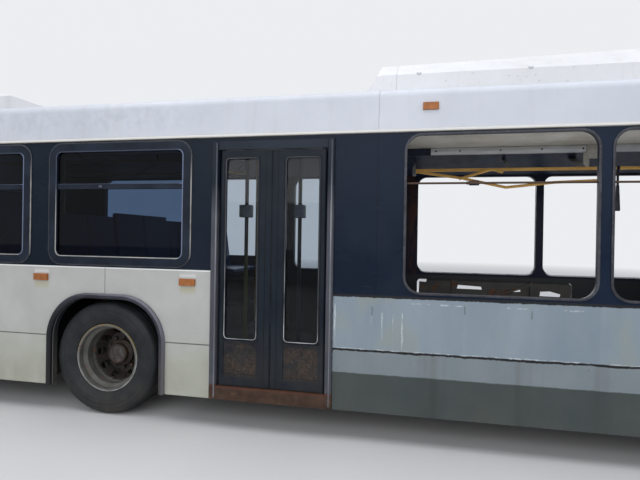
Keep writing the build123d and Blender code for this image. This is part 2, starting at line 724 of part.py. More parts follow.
# Cross members: box tubes between the rails, and outriggers from the rails to the side panels
member_width = 60
cross_members = [
    # rear x, top z, half length
    (body_rear + 200, high_rail_top, 700),
    (-4780, high_rail_top, inner_side_y),
    (-3950, high_rail_top, inner_side_y),
    (kick_x, high_rail_top, 540),
    (-1900, low_rail_top, inner_side_y),
    (-900, low_rail_top, inner_side_y),
    (100, low_rail_top, inner_side_y),
    (1100, low_rail_top, inner_side_y),
    (2100, low_rail_top, inner_side_y),
    (3100, low_rail_top, inner_side_y),
    (4700, low_rail_top, inner_side_y),
    (rail_front_x - 80, low_rail_top, inner_side_y),
]
with BuildPart() as cross_member_tubes:
    for x, top, half in cross_members:
        for y0, y1 in ((-half, -rail_outer_y), (-rail_inner_y, rail_inner_y), (rail_outer_y, half)):
            block((x, y0, top - rail_size), (x + member_width, y1, top))
save(cross_member_tubes.part, "cross_members")

# Tow eyes: flat plates on the rails' front ends, each with one upright hole
tow_plate, tow_length, tow_half = 30, 200, 50
tow_radius, tow_edge = 20, 45
tow_z = low_rail_top - rail_size / 2
with BuildPart() as tow_eyes:
    for side in (-1, 1):
        block((rail_front_x, side * rail_y - tow_half, tow_z - tow_plate / 2),
              (rail_front_x + tow_length, side * rail_y + tow_half, tow_z + tow_plate / 2))
        with Locations((rail_front_x + tow_length - tow_edge, side * rail_y, tow_z)):
            Cylinder(tow_radius, 2 * tow_plate, mode=Mode.SUBTRACT)
save(tow_eyes.part, "tow_eyes")

# Engine: one plain block between the rear rails
engine_rear_x, engine_front_x = body_rear + 300, -4900
with BuildPart() as engine_block:
    block((engine_rear_x, -rail_inner_y, 350), (engine_front_x, rail_inner_y, bench_floor_z - slab - 50))
save(engine_block.part, "engine_block")


# Wheels
def tyre_ring(centre_y, x):
    """One tyre: a casing open towards the rim, turned about its axle."""
    half = tyre_width / 2
    bead = rim_width / 2 - 12
    with BuildSketch(Plane.XY.offset(tyre_radius)) as section:
        with BuildLine():
            for s in (-1, 1):
                Line((x + bead_radius, centre_y + s * (bead - 16)), (x + bead_radius, centre_y + s * bead))
                Line((x + bead_radius, centre_y + s * bead), (x + rim_lip + 3, centre_y + s * bead))
                ThreePointArc((x + rim_lip + 3, centre_y + s * bead), (x + 400, centre_y + s * half),
                              (x + tyre_radius - 20, centre_y + s * (half - 18)))
                Line((x + tyre_radius - 20, centre_y + s * (half - 18)),
                     (x + tyre_radius - 5, centre_y + s * (half - 38)))
                ThreePointArc((x + bead_radius, centre_y + s * (bead - 16)), (x + 390, centre_y + s * (half - 18)),
                              (x + tyre_radius - 34, centre_y + s * (half - 46)))
            ThreePointArc((x + tyre_radius - 5, centre_y - half + 38), (x + tyre_radius, centre_y),
                          (x + tyre_radius - 5, centre_y + half - 38))
            Line((x + tyre_radius - 34, centre_y - half + 46), (x + tyre_radius - 34, centre_y + half - 46))
        make_face()
    revolve(section.sketch, axis=Axis((x, 0, tyre_radius), (0, 1, 0)))


barrel_gauge = 9
well_radius = 258
disc_gauge = 14
stud_circle = 143
hand_hole_radius = 32
hand_hole_circle = 196


def rim_ring(centre_y, x, disc_side, bore):
    """One steel wheel: a drop-centre barrel with a dished disc on one side, ten studs and hand holes."""
    half = rim_width / 2
    outer = [(-half, rim_lip), (-half + 12, rim_lip), (-half + 12, bead_radius), (-half + 52, bead_radius),
             (-half + 76, well_radius), (half - 76, well_radius), (half - 52, bead_radius),
             (half - 12, bead_radius), (half - 12, rim_lip), (half, rim_lip)]
    inner = [(y, r - barrel_gauge) for y, r in outer if r < rim_lip]
    inner = [(-half, bead_radius - barrel_gauge)] + inner[1:-1] + [(half, bead_radius - barrel_gauge)]
    with BuildSketch(Plane.XY.offset(tyre_radius)) as barrel:
        with BuildLine():
            Polyline(*[(x + r, centre_y + y) for y, r in outer + inner[::-1]], close=True)
        make_face()
    revolve(barrel.sketch, axis=Axis((x, 0, tyre_radius), (0, 1, 0)))
    face_y = centre_y + disc_side * (dual_spacing / 2 - disc_gauge)
    back_y = centre_y + disc_side * (half - 90)
    with BuildSketch(Plane.XY.offset(tyre_radius)) as disc:
        with BuildLine():
            s = disc_side * disc_gauge
            Polyline((x + bore, face_y), (x + 190, face_y), (x + well_radius - barrel_gauge + 2, back_y),
                     (x + well_radius - barrel_gauge + 2, back_y + 1.4 * s), (x + 196, face_y + s),
                     (x + bore, face_y + s), close=True)
        make_face()
    revolve(disc.sketch, axis=Axis((x, 0, tyre_radius), (0, 1, 0)))
    hole_plane = Plane(origin=(x, face_y - disc_side * 80, tyre_radius), x_dir=(1, 0, 0), z_dir=(0, disc_side, 0))
    with BuildSketch(hole_plane) as hand_holes:
        with PolarLocations(hand_hole_circle + 14, 10):
            Circle(hand_hole_radius)
    extrude(hand_holes.sketch, amount=80 + disc_gauge + 2, mode=Mode.SUBTRACT)


def studs(x, y, way, height):
    """Ten wheel nuts in a circle, standing off a disc face at y."""
    nut_plane = Plane(origin=(x, y, tyre_radius), x_dir=(1, 0, 0), z_dir=(0, way, 0))
    with BuildSketch(nut_plane) as nuts:
        with PolarLocations(stud_circle, 10, start_angle=18):
            RegularPolygon(19, 6)
    extrude(nuts.sketch, amount=height)


def turned(x, profile):
    """A round part about the axle line from (y, radius) pairs."""
    with BuildSketch(Plane.XY.offset(tyre_radius)) as outline:
        with BuildLine():
            Polyline(*[(x + r, y) for y, r in profile], close=True)
        make_face()
    revolve(outline.sketch, axis=Axis((x, 0, tyre_radius), (0, 1, 0)))


spindle_rear = 60
spindle_front = 45
drum_radius, drum_bore = 185, 172
drum_deep = 230
for side, name in ((1, "left"), (-1, "right")):
    outer_y = side * rear_wheel_y
    inner_y = side * (rear_wheel_y - dual_spacing)
    mid_y = side * (rear_wheel_y - dual_spacing / 2)
    with BuildPart() as rear_tyres:
        tyre_ring(outer_y, rear_axle_x)
        tyre_ring(inner_y, rear_axle_x)
    save(rear_tyres.part, f"rear_{name}_tyres")
    with BuildPart() as rear_rims:
        rim_ring(outer_y, rear_axle_x, -side, 90)
        rim_ring(inner_y, rear_axle_x, side, 90)
        bore = spindle_rear + hub_bore_gap
        turned(rear_axle_x, [(mid_y - side * 60, bore), (mid_y - side * 60, drum_bore),
                             (mid_y - side * drum_deep, drum_bore), (mid_y - side * drum_deep, drum_radius),
                             (mid_y - side * 44, drum_radius), (mid_y - side * 44, 118), (mid_y + side * 70, 118),
                             (mid_y + side * 92, 92), (mid_y + side * 128, 88), (mid_y + side * 134, 80),
                             (mid_y + side * 134, 0), (mid_y + side * 100, 0), (mid_y + side * 100, bore)])
        studs(rear_axle_x, mid_y + side * disc_gauge, side, 30)
    save(rear_rims.part, f"rear_{name}_rims")
    with BuildPart() as front_tyre:
        tyre_ring(side * front_wheel_y, front_axle_x)
    save(front_tyre.part, f"front_{name}_tyre")
    with BuildPart() as front_rim:
        rim_ring(side * front_wheel_y, front_axle_x, side, 80)
        bore = spindle_front + hub_bore_gap
        face = side * (front_wheel_y + dual_spacing / 2 - disc_gauge)
        turned(front_axle_x, [(face - side * 60, bore), (face - side * 60, drum_bore),
                              (face - side * 155, drum_bore), (face - side * 155, drum_radius),
                              (face - side * 44, drum_radius), (face - side * 44, 110), (face + side * 14, 110),
                              (face + side * 20, 82), (face + side * 44, 76), (face + side * 50, 66),
                              (face + side * 50, 0), (face + side * 20, 0), (face + side * 20, bore)])
        studs(front_axle_x, face + side * disc_gauge, side, 26)
    save(front_rim.part, f"front_{name}_rim")

# Front axle: a dropped beam with an eye for each kingpin
beam_half = 55
beam_z0, beam_z1 = 138, 226
kingpin_radius = 22
eye_radius = 44
eye_z0, eye_z1 = tyre_radius - 55, tyre_radius + 55
with BuildPart() as front_axle:
    with BuildSketch(Plane.YZ.offset(front_axle_x - beam_half)):
        with BuildLine():
            Polyline((-kingpin_y, eye_z0), (-860, eye_z0), (-620, beam_z0), (620, beam_z0), (860, eye_z0),
                     (kingpin_y, eye_z0), (kingpin_y, eye_z1), (810, eye_z1), (560, beam_z1), (-560, beam_z1),
                     (-810, eye_z1), (-kingpin_y, eye_z1), close=True)
        make_face()
    extrude(amount=2 * beam_half)
    for side in (-1, 1):
        y0, y1 = sorted((side * (kingpin_y - 30), side * (kingpin_y + 80)))
        block((front_axle_x - 2 * beam_half, y0, beam_z0), (front_axle_x + 2 * beam_half, y1, 2 * tyre_radius),
              mode=Mode.SUBTRACT)
        with Locations((front_axle_x, side * kingpin_y, tyre_radius)):
            Cylinder(eye_radius, eye_z1 - eye_z0)
            Cylinder(kingpin_radius + hub_bore_gap, eye_z1 - eye_z0, mode=Mode.SUBTRACT)
        y0, y1 = sorted((side * 545, side * (bellows_front_y + bellows_radius)))
        block((front_axle_x - beam_half, y0, beam_z1 - 20), (front_axle_x + beam_half, y1, 400))
save(front_axle.part, "front_axle")

# Steering knuckles: ears above and below the eye, joined by a web that carries the spindle
ear_gap = 5
ear_thick = 50
for side, name in ((1, "left"), (-1, "right")):
    with BuildPart() as knuckle:
        for low in (eye_z0 - ear_gap - ear_thick, eye_z1 + ear_gap):
            with Locations((front_axle_x, side * kingpin_y, low + ear_thick / 2)):
                Cylinder(eye_radius, ear_thick)
            y0, y1 = sorted((side * kingpin_y, side * (kingpin_y + 85)))
            block((front_axle_x - 42, y0, low), (front_axle_x + 42, y1, low + ear_thick))
        y0, y1 = sorted((side * (kingpin_y + 53), side * (kingpin_y + 85)))
        block((front_axle_x - 42, y0, eye_z0 - ear_gap), (front_axle_x + 42, y1, eye_z1 + ear_gap))
        with Locations((front_axle_x, side * kingpin_y, tyre_radius)):
            Cylinder(kingpin_radius, eye_z1 - eye_z0 + 2 * ear_gap + 2)
        turned(front_axle_x, [(side * (kingpin_y + 60), 0), (side * (kingpin_y + 60), spindle_front),
                              (side * (front_wheel_y + dual_spacing / 2), spindle_front),
                              (side * (front_wheel_y + dual_spacing / 2), 0)])
    save(knuckle.part, f"steering_knuckle_{name}")

# Rear axle: banjo housing with spindles, brake backing plates and air spring saddles
saddle_z = tyre_radius + 105
backing_gap = 6
with BuildPart() as rear_axle:
    spindle_end = rear_wheel_y - dual_spacing / 2 + 96
    turned(rear_axle_x, [(-spindle_end, 0), (-spindle_end, spindle_rear), (-860, spindle_rear), (-840, 84),
                         (-300, 88), (-170, 180), (0, 205), (170, 180), (300, 88), (840, 84), (860, spindle_rear),
                         (spindle_end, spindle_rear), (spindle_end, 0)])
    with Locations(Location((rear_axle_x - 190, 0, tyre_radius), (0, 90, 0))):
        Cylinder(95, 180)
    drum_mouth_y = rear_wheel_y - dual_spacing / 2 - drum_deep
    for side in (-1, 1):
        plate_y = side * (drum_mouth_y - backing_gap)
        turned(rear_axle_x, [(plate_y, 0), (plate_y, drum_radius), (plate_y - side * 12, drum_radius),
                             (plate_y - side * 12, 0)])
        y0, y1 = side * rail_y - 70, side * rail_y + 70
        block((rear_axle_x - 90, y0, tyre_radius + 40), (rear_axle_x + 90, y1, saddle_z))
save(rear_axle.part, "rear_axle")


# Drive shaft: from the engine's front face to the axle's nose
shaft_rear_x, shaft_front_x = engine_front_x, rear_axle_x - 280
with BuildPart() as drive_shaft:
    with Locations(Location(((shaft_rear_x + shaft_front_x) / 2, 0, tyre_radius), (0, 90, 0))):
        Cylinder(45, shaft_front_x - shaft_rear_x)
    for x in (shaft_rear_x + 30, shaft_front_x - 30):
        with Locations(Location((x, 0, tyre_radius), (0, 90, 0))):
            Cylinder(72, 60)
save(drive_shaft.part, "drive_shaft")


# Air springs: rolling bellows between axle and frame
def bellows(x, y, z0, z1, radius):
    """A round bellows with two bulges."""
    mid = (z0 + z1) / 2
    neck = radius - 16
    with BuildSketch(Plane.XZ.offset(-y)) as outline:
        with BuildLine():
            Polyline((x, z1), (x, z0), (x + neck, z0))
            ThreePointArc((x + neck, z0), (x + radius, (z0 + mid) / 2), (x + neck, mid))
            ThreePointArc((x + neck, mid), (x + radius, (mid + z1) / 2), (x + neck, z1))
            Line((x + neck, z1), (x, z1))
        make_face()
    revolve(outline.sketch, axis=Axis((x, y, 0), (0, 0, 1)))


with BuildPart() as air_springs:
    for side in (-1, 1):
        bellows(front_axle_x, side * bellows_front_y, 400, bracket_z, bellows_radius)
        bellows(rear_axle_x, side * rail_y, saddle_z, high_rail_top - rail_size, bellows_radius)
save(air_springs.part, "air_springs")

# Ceiling panels: a cream centre, with dark ducts that slope down to the window heads
ceiling_z = 2640
duct_inner_y = 740
duct_foot_z = 2555
ceiling_x0, ceiling_x1 = -5850, 5700
ceiling_sheet = 18
ceiling_rise = 1.2 * ceiling_sheet


def ceiling_height(y):
    """The underside of the ceiling's shallow arc at one y."""
    radius = (duct_inner_y ** 2 + ceiling_rise ** 2) / (2 * ceiling_rise)
    return ceiling_z + ceiling_rise - radius + math.sqrt(radius ** 2 - y ** 2)


with BuildPart() as ceiling_panels:
    with BuildSketch(Plane.YZ.offset(ceiling_x0)):
        with BuildLine():
            Polyline((-duct_inner_y, ceiling_z), (-duct_inner_y, ceiling_z + ceiling_sheet))
            ThreePointArc((-duct_inner_y, ceiling_z + ceiling_sheet), (0, ceiling_z + ceiling_rise + ceiling_sheet),
                          (duct_inner_y, ceiling_z + ceiling_sheet))
            Line((duct_inner_y, ceiling_z + ceiling_sheet), (duct_inner_y, ceiling_z))
            ThreePointArc((duct_inner_y, ceiling_z), (0, ceiling_z + ceiling_rise), (-duct_inner_y, ceiling_z))
        make_face()
    extrude(amount=ceiling_x1 - ceiling_x0)
    block((hatch_x0, -hatch_half, ceiling_z - 10), (hatch_x1, hatch_half, ceiling_z + 3 * ceiling_sheet),
          mode=Mode.SUBTRACT)
save(ceiling_panels.part, "ceiling_panels")

duct_heel_z = cove_z - 15
duct_foot_width = 24


def duct_underside(y):
    """The height of the duct's sloped underside at one |y|."""
    foot_y = duct_inner_y + duct_foot_width
    return duct_foot_z + (y - foot_y) * (duct_heel_z - duct_foot_z) / (half_width - wall - foot_y)


with BuildPart() as side_ducts:
    for side in (-1, 1):
        with BuildSketch(Plane.YZ.offset(ceiling_x0)):
            with BuildLine():
                Polyline((side * (half_width - wall), duct_heel_z), (side * (half_width - wall), cove_z),
                         (side * 1205, 2580), (side * duct_inner_y, ceiling_z + ceiling_sheet),
                         (side * duct_inner_y, duct_foot_z), (side * (duct_inner_y + duct_foot_width), duct_foot_z),
                         close=True)
            make_face()
        extrude(amount=ceiling_x1 - ceiling_x0)
save(side_ducts.part, "side_ducts")

# Light rails: pressed metal covers on the ducts' inner faces, in lengths; one each side is gone
rail_cover = 10
light_rails_left = [(-5700, -3900), (-3860, -2060), (-416, 1221), (1330, 2960), (3000, 4640)]
light_rails_right = [(-5700, -3900), (-3860, -2060), (-2020, -380), (1330, 2960), (3000, 4640)]
with BuildPart() as light_rails:
    for side, lengths in ((-1, light_rails_right), (1, light_rails_left)):
        for x0, x1 in lengths:
            with BuildSketch(Plane.YZ.offset(x0)):
                with BuildLine():
                    Line((side * duct_inner_y, duct_foot_z + 2), (side * duct_inner_y, ceiling_z - 4))
                    Line((side * duct_inner_y, ceiling_z - 4), (side * (duct_inner_y - 6), ceiling_z - 4))
                    ThreePointArc((side * (duct_inner_y - 6), ceiling_z - 4),
                                  (side * (duct_inner_y - rail_cover - 8), (ceiling_z + duct_foot_z) / 2),
                                  (side * (duct_inner_y - 6), duct_foot_z + 2))
                    Line((side * (duct_inner_y - 6), duct_foot_z + 2), (side * duct_inner_y, duct_foot_z + 2))
                make_face()
            extrude(amount=x1 - x0)
save(light_rails.part, "light_rails")

# Grab rails: yellow tubes, floor to ceiling poles and overhead rails, one of them torn down
tube = 17
pole_y = 540
overhead_y, overhead_z = 500, 2352
poles = [
    # x, side, floor z
    (-4230, -1, rear_floor_z),
    (-3210, 1, rear_floor_z),
    (-2440, -1, step_z),
    (-2440, 1, step_z),
    (-1115, -1, floor_z),
    (2300, 1, floor_z),
    (3150, -1, floor_z),
    (4585, -1, floor_z),
]
overhead_rails = [
    # rear x, front x, side
    (-5300, -2600, -1),
    (-5300, -2600, 1),
    (-575, 3320, 1),
]
hangers = {-1: [(-5200, 18), (-4000, 18), (-2700, 18)],
           1: [(-5200, 18), (-4000, 18), (-2700, 18), (395, 18), (1110, 40), (2100, 18), (3220, 18)]}
fallen_rail = [(-572.5, 2330), (-80, 2254), (365, 2153), (842, 2203), (1289.2, 2220)]
loose_rail = [(-115, 2243), (219, 2345), (330, 2310)]
torn_tube = 15
fallen_y = 440
loose_y = fallen_y - 2 * torn_tube - 0.2
door_pole_y = 900
door_poles = (-2026, -1531)
with BuildPart() as grab_rails:
    for x, side, base in poles:
        pole_top = ceiling_height(pole_y + tube)
        with Locations((x, side * pole_y, (base + pole_top) / 2)):
            Cylinder(tube, pole_top - base)
    for x in door_poles:
        pole_top = duct_underside(door_pole_y + tube)
        with Locations((x, -door_pole_y, (floor_z + pole_top) / 2)):
            Cylinder(tube, pole_top - floor_z)
    for x0, x1, side in overhead_rails:
        with Locations(Location(((x0 + x1) / 2, side * overhead_y, overhead_z), (0, 90, 0))):
            Cylinder(tube, x1 - x0)
    for y, route in ((fallen_y, fallen_rail), (loose_y, loose_rail)):
        with BuildLine() as path:
            FilletPolyline(*[(x, y, z) for x, z in route], radius=90)
        with BuildSketch(Plane(origin=path.line @ 0, z_dir=path.line % 0)):
            Circle(torn_tube)
        sweep(path=path.line)
save(grab_rails.part, "grab_rails")

# Rail hangers: slanted steel straps from the overhead rails up to the ducts' undersides, and the
# end bracket and drop plate that still hold the torn rail
strap = 5
strap_head_y = 872
bracket_top_z = overhead_z + 30


def slanted_strap(x, side, foot_y, foot_z, half):
    """A flat strap across the bus from a foot near a rail up to the duct."""
    head_y = strap_head_y
    lean = math.atan2(duct_underside(head_y) - foot_z, head_y - foot_y)
    rise = 2 * strap / math.cos(lean)
    with BuildSketch(Plane.YZ.offset(x - half)) as outline:
        with BuildLine():
            Polyline((side * foot_y, foot_z), (side * foot_y, foot_z + rise),
                     (side * (head_y - 2 * strap), duct_underside(head_y - 2 * strap)),
                     (side * head_y, duct_underside(head_y)), close=True)
        make_face()
    extrude(outline.sketch, amount=2 * half)


with BuildPart() as rail_hangers:
    for side, places in hangers.items():
        for x, half in places:
            slanted_strap(x, side, overhead_y, overhead_z + tube, half)
    block((-610, loose_y - 30, overhead_z - 60), (-575, overhead_y + 30, bracket_top_z))
    slanted_strap(-592.5, 1, overhead_y, bracket_top_z, 9.5)
    block((1290, fallen_y - 22, 2198), (1306, overhead_y + strap, 2242))
    block((1290, overhead_y - strap, 2242), (1306, overhead_y + strap, overhead_z - tube))
save(rail_hangers.part, "rail_hangers")

# Passenger seats: moulded shells on cross beams, in pairs and on a bench over the engine
seat_pitch, seat_width = 440, 424
seat_outer_y = half_width - wall - 12 - seat_width / 2
seat_rise = 400
back_height = 560
shell_gauge = 40
seat_rows = [
    # x of the seat's front, y of each seat, seat top z, y of the pedestals, floor z there
    (-2640, (-seat_outer_y, -seat_outer_y + seat_pitch), 1210, (-900,), 1062),
    (-3260, (-seat_outer_y, -seat_outer_y + seat_pitch), 1210, (-900,), 1062),
    (-2640, (seat_outer_y, seat_outer_y - seat_pitch), 1210, (900,), 1062),
    (-3260, (seat_outer_y, seat_outer_y - seat_pitch), 1210, (900,), 1062),
    (-4250, (-seat_outer_y, -seat_outer_y + seat_pitch), rear_floor_z + seat_rise, (-790,), rear_floor_z),
    (-4250, (seat_outer_y, seat_outer_y - seat_pitch), rear_floor_z + seat_rise, (790,), rear_floor_z),
    (-5150, (-880, -440, 0, 440, 880), bench_floor_z + seat_rise, (-660, 0, 660), bench_floor_z),
]
with BuildPart() as passenger_seats:
    for x, places, top, pedestals, base in seat_rows:
        for y in places:
            with BuildSketch(Plane.XZ.offset(-y - seat_width / 2)):
                with BuildLine():
                    Polyline((x, top - 38), (x - 20, top - 46), (x - 400, top - 52), (x - 450, top - 10),
                             (x - 520, top + back_height), (x - 490, top + back_height + 6), (x - 415, top + 24),
                             (x - 380, top - 8), (x - 60, top), (x - 8, top - 10), close=True)
                make_face()
            extrude(amount=seat_width)
        for y in pedestals:
            block((x - 290, y - 45, base), (x - 190, y + 45, top - 110))
        block((x - 270, min(places) - seat_width / 2 + 20, top - 110),
              (x - 210, max(places) + seat_width / 2 - 20, top - 50))
save(passenger_seats.part, "passenger_seats")

# Driver station: platform, dash, seat and wheel
with BuildPart() as driver_station:
    block((4640, 250, floor_z), (5640, half_width - wall, floor_z + 120))
    block((5500, 250, floor_z + 120), (5780, 1180, 1080))
    block((4760, 420, floor_z + 420), (5220, 900, floor_z + 520))
    block((4700, 420, floor_z + 420), (4760, 900, floor_z + 1150))
    block((4900, 600, floor_z + 120), (5060, 720, floor_z + 420))
    with Locations(Location((5380, 660, 1080), (0, -35, 0))):
        Torus(225, 16)
        Cylinder(40, 30)
        Box(430, 26, 16)
        Box(26, 430, 16)
    with Locations(Location((5440, 660, 990), (0, -35, 0))):
        Cylinder(28, 230)
save(driver_station.part, "driver_station")

# Side markers: lamps over the arches and along the skirt, and a pair on the leaning roof edge
marker_length, marker_proud, marker_height = 140, 22, 58
marker_places = [(-3818, 1198), (-2392, 1196), (2235, 1000)]
edge_marker_x, edge_marker_z = -422, 2595
edge_marker = (117, 16, 55)
lens_gap = 0.2
lean_angle = math.degrees(math.atan2(cove_lean, roof_edge_z - cove_z))
with BuildPart() as side_markers:
    for side in (-1, 1):
        for x, z in marker_places:
            with Locations((x, side * (half_width + marker_proud / 2), z)):
                Box(marker_length, marker_proud, marker_height)
        face_y = half_width - cove_lean * (edge_marker_z - cove_z) / (roof_edge_z - cove_z)
        lean = Location((edge_marker_x, side * face_y, edge_marker_z), (side * lean_angle, 0, 0))
        with Locations(lean * Location((0, side * (edge_marker[1] / 2 + lens_gap), 0))):
            Box(*edge_marker)
save(side_markers.part, "side_markers")

# Lamps at both ends
lamp_radius = 85
with BuildPart() as tail_lamps:
    for side in (-1, 1):
        for z in (700, 890, 1080, 2600):
            with Locations(Location((body_rear - 9, side * 1060, z), (0, 90, 0))):
                Cylinder(lamp_radius if z < 2000 else 50, 18)
save(tail_lamps.part, "tail_lamps")

with BuildPart() as headlamps:
    add(shell_between(-14, 0))
    keep((body_front - 200, -half_width, skirt_z), (body_front + 100, half_width, roof_crown_z))
    with BuildSketch(Plane.YZ.offset(body_front - 200)):
        for side in (-1, 1):
            for y in (790, 980):
                with Locations((side * y, 740)):
                    Circle(78)
            with Locations((side * 640, 740)):
                RectangleRounded(90, 130, 20)
    extrude(amount=400, mode=Mode.INTERSECT)
save(headlamps.part, "headlamps")

# Mirrors: upright heads on cranked arms from both front corners
mirror_arm, mirror_clear, arm_size = 195, 5, 30
mirror_front_x = body_front - 105
mirror_foot_x = body_front - 410
with BuildPart() as mirrors:
    for side in (-1, 1):
        y0, y1 = sorted((side * (half_width + mirror_clear), side * (half_width + mirror_arm)))
        block((mirror_front_x - 65, y0, 1650), (mirror_front_x, y1, 2060))
        y0, y1 = sorted((side * half_width, side * (half_width + 12)))
        block((mirror_foot_x, y0, 2190), (mirror_foot_x + 80, y1, 2300))
        y0, y1 = sorted((side * half_width, side * (half_width + 75 + arm_size)))
        block((mirror_foot_x + 25, y0, 2230), (mirror_foot_x + 25 + arm_size, y1, 2230 + arm_size))
        y0, y1 = sorted((side * (half_width + 75), side * (half_width + 75 + arm_size)))
        block((mirror_foot_x + 25, y0, 2230), (mirror_front_x - 20, y1, 2230 + arm_size))
        block((mirror_front_x - 20 - arm_size, y0, 2060), (mirror_front_x - 20, y1, 2230 + arm_size))
save(mirrors.part, "mirrors")
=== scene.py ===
"""The looks of the city bus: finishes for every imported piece, and the trim that the solids leave out."""

import math

import bpy
from mathutils import Matrix, Vector


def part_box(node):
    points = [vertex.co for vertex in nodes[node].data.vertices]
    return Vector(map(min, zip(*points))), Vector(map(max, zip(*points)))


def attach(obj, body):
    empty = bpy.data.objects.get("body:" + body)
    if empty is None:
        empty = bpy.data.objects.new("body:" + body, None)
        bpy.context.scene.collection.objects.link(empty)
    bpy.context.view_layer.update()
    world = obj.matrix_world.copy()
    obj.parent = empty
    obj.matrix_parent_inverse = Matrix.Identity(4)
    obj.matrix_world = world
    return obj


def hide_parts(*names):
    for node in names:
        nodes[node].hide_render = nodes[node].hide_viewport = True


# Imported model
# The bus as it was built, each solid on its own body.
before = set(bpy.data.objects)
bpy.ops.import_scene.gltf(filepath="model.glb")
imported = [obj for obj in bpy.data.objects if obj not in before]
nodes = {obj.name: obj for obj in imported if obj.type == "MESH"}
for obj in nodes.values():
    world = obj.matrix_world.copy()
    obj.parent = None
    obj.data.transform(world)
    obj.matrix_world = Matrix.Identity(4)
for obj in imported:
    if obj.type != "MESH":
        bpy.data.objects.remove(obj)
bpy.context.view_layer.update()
bpy.ops.object.select_all(action="DESELECT")

# Camera
# It stands where the photograph was taken from, a little behind the rear door and near enough
# that the bus fills the picture and both of its ends are cut off.
camera_data = bpy.data.cameras.new("camera")
camera_data.lens = 28.039
camera_data.sensor_width = 36.0
camera_data.clip_start = 0.05
camera_data.clip_end = 200.0
camera = bpy.data.objects.new("camera", camera_data)
bpy.context.scene.collection.objects.link(camera)
camera_right = Vector((0.97672043, 0.21390178, 0.01622463))
camera_up = Vector((-0.01653052, -0.00035868, 0.99986330))
camera_back = Vector((0.21387836, -0.97685511, 0.00318558))
turned = Matrix((camera_right, camera_up, camera_back)).transposed().to_4x4()
camera_place = Vector((-0.4192, -5.1409, 1.5810))
camera.matrix_world = Matrix.Translation(camera_place) @ turned
bpy.context.scene.camera = camera
bpy.context.scene.view_settings.view_transform = "Standard"


# Floor and studio light
# A plain pale floor and a pale surround, lit by a wide overhead softbox, a broad one on the
# camera's side and a weaker one behind, so that the flat sides show their own colour. A faint
# one in the cabin lights the ceiling, where daylight came in through the missing windows.
def lay_node(tree, kind, sockets=None, **settings):
    """Adds a shader node with its settings, and a value or a link for each socket that is named."""
    made = tree.nodes.new("ShaderNode" + kind)
    for name, value in settings.items():
        setattr(made, name, value)
    for name, value in (sockets or {}).items():
        if isinstance(value, bpy.types.NodeSocket):
            tree.links.new(value, made.inputs[name])
        else:
            made.inputs[name].default_value = value
    return made


def work_out(tree, operation, first, second=0.0, third=0.0, clamp=False):
    """One Math node's result."""
    return lay_node(tree, "Math", {0: first, 1: second, 2: third}, operation=operation,
                    use_clamp=clamp).outputs[0]


def times(tree, first, second):
    """Two values multiplied."""
    return work_out(tree, "MULTIPLY", first, second)


def ramp(tree, value, low, high, low_to=0.0, high_to=1.0):
    """A value carried from one range to another, held inside it."""
    return lay_node(tree, "MapRange", {"Value": value, "From Min": low, "From Max": high,
                                       "To Min": low_to, "To Max": high_to}).outputs[0]


def split_axes(tree, place):
    """The X, Y and Z of a point or a direction."""
    return lay_node(tree, "SeparateXYZ", {0: place}).outputs


haze_colour = (0.90, 0.92, 0.95, 1)
haze_strength = 0.93
world = bpy.data.worlds.new("studio")
bpy.context.scene.world = world
world.use_nodes = True
sky = world.node_tree
sky.nodes.clear()
rays = lay_node(sky, "LightPath").outputs
seen = work_out(sky, "MAXIMUM", rays["Is Camera Ray"], rays["Is Transmission Ray"])
mirrored = work_out(sky, "MAXIMUM", seen, rays["Is Glossy Ray"])
ambient = lay_node(sky, "Background", {"Color": (0.86, 0.90, 1.0, 1), "Strength": 0.47}).outputs[0]
surround = lay_node(sky, "Background", {"Color": haze_colour, "Strength": haze_strength}).outputs[0]
both = lay_node(sky, "MixShader", {0: mirrored, 1: ambient, 2: surround}).outputs[0]
lay_node(sky, "OutputWorld", {"Surface": both})

bpy.ops.mesh.primitive_grid_add(x_subdivisions=4, y_subdivisions=4, size=120, location=(0, 0, -0.002))
ground = bpy.context.object
ground.name = "studio_floor"
bpy.ops.object.transform_apply(location=True, rotation=True, scale=True)
ground_paint = bpy.data.materials.new("studio_floor")
ground_paint.use_nodes = True
tree = ground_paint.node_tree
tree.nodes.clear()
place = lay_node(tree, "TexCoord").outputs["Object"]
speck = lay_node(tree, "TexNoise", {"Vector": place, "Scale": 1.2, "Detail": 6.0}).outputs["Fac"]
tone = ramp(tree, speck, 0.0, 1.0, 0.60, 0.66)
grey = lay_node(tree, "CombineColor", {0: tone, 1: tone, 2: tone}).outputs[0]
dull = lay_node(tree, "BsdfPrincipled", {"Base Color": grey, "Roughness": 0.9}).outputs[0]
axes = split_axes(tree, place)
spread = work_out(tree, "MULTIPLY_ADD", axes["Y"], axes["Y"], times(tree, axes["X"], axes["X"]))
far = ramp(tree, spread, 60.0, 1100.0)
rays = lay_node(tree, "LightPath").outputs
seen = work_out(tree, "MAXIMUM", rays["Is Camera Ray"], rays["Is Transmission Ray"])
haze = lay_node(tree, "Emission", {"Color": haze_colour, "Strength": haze_strength}).outputs[0]
both = lay_node(tree, "MixShader", {0: times(tree, far, seen), 1: dull, 2: haze}).outputs[0]
lay_node(tree, "OutputMaterial", {"Surface": both})
ground.data.materials.append(ground_paint)

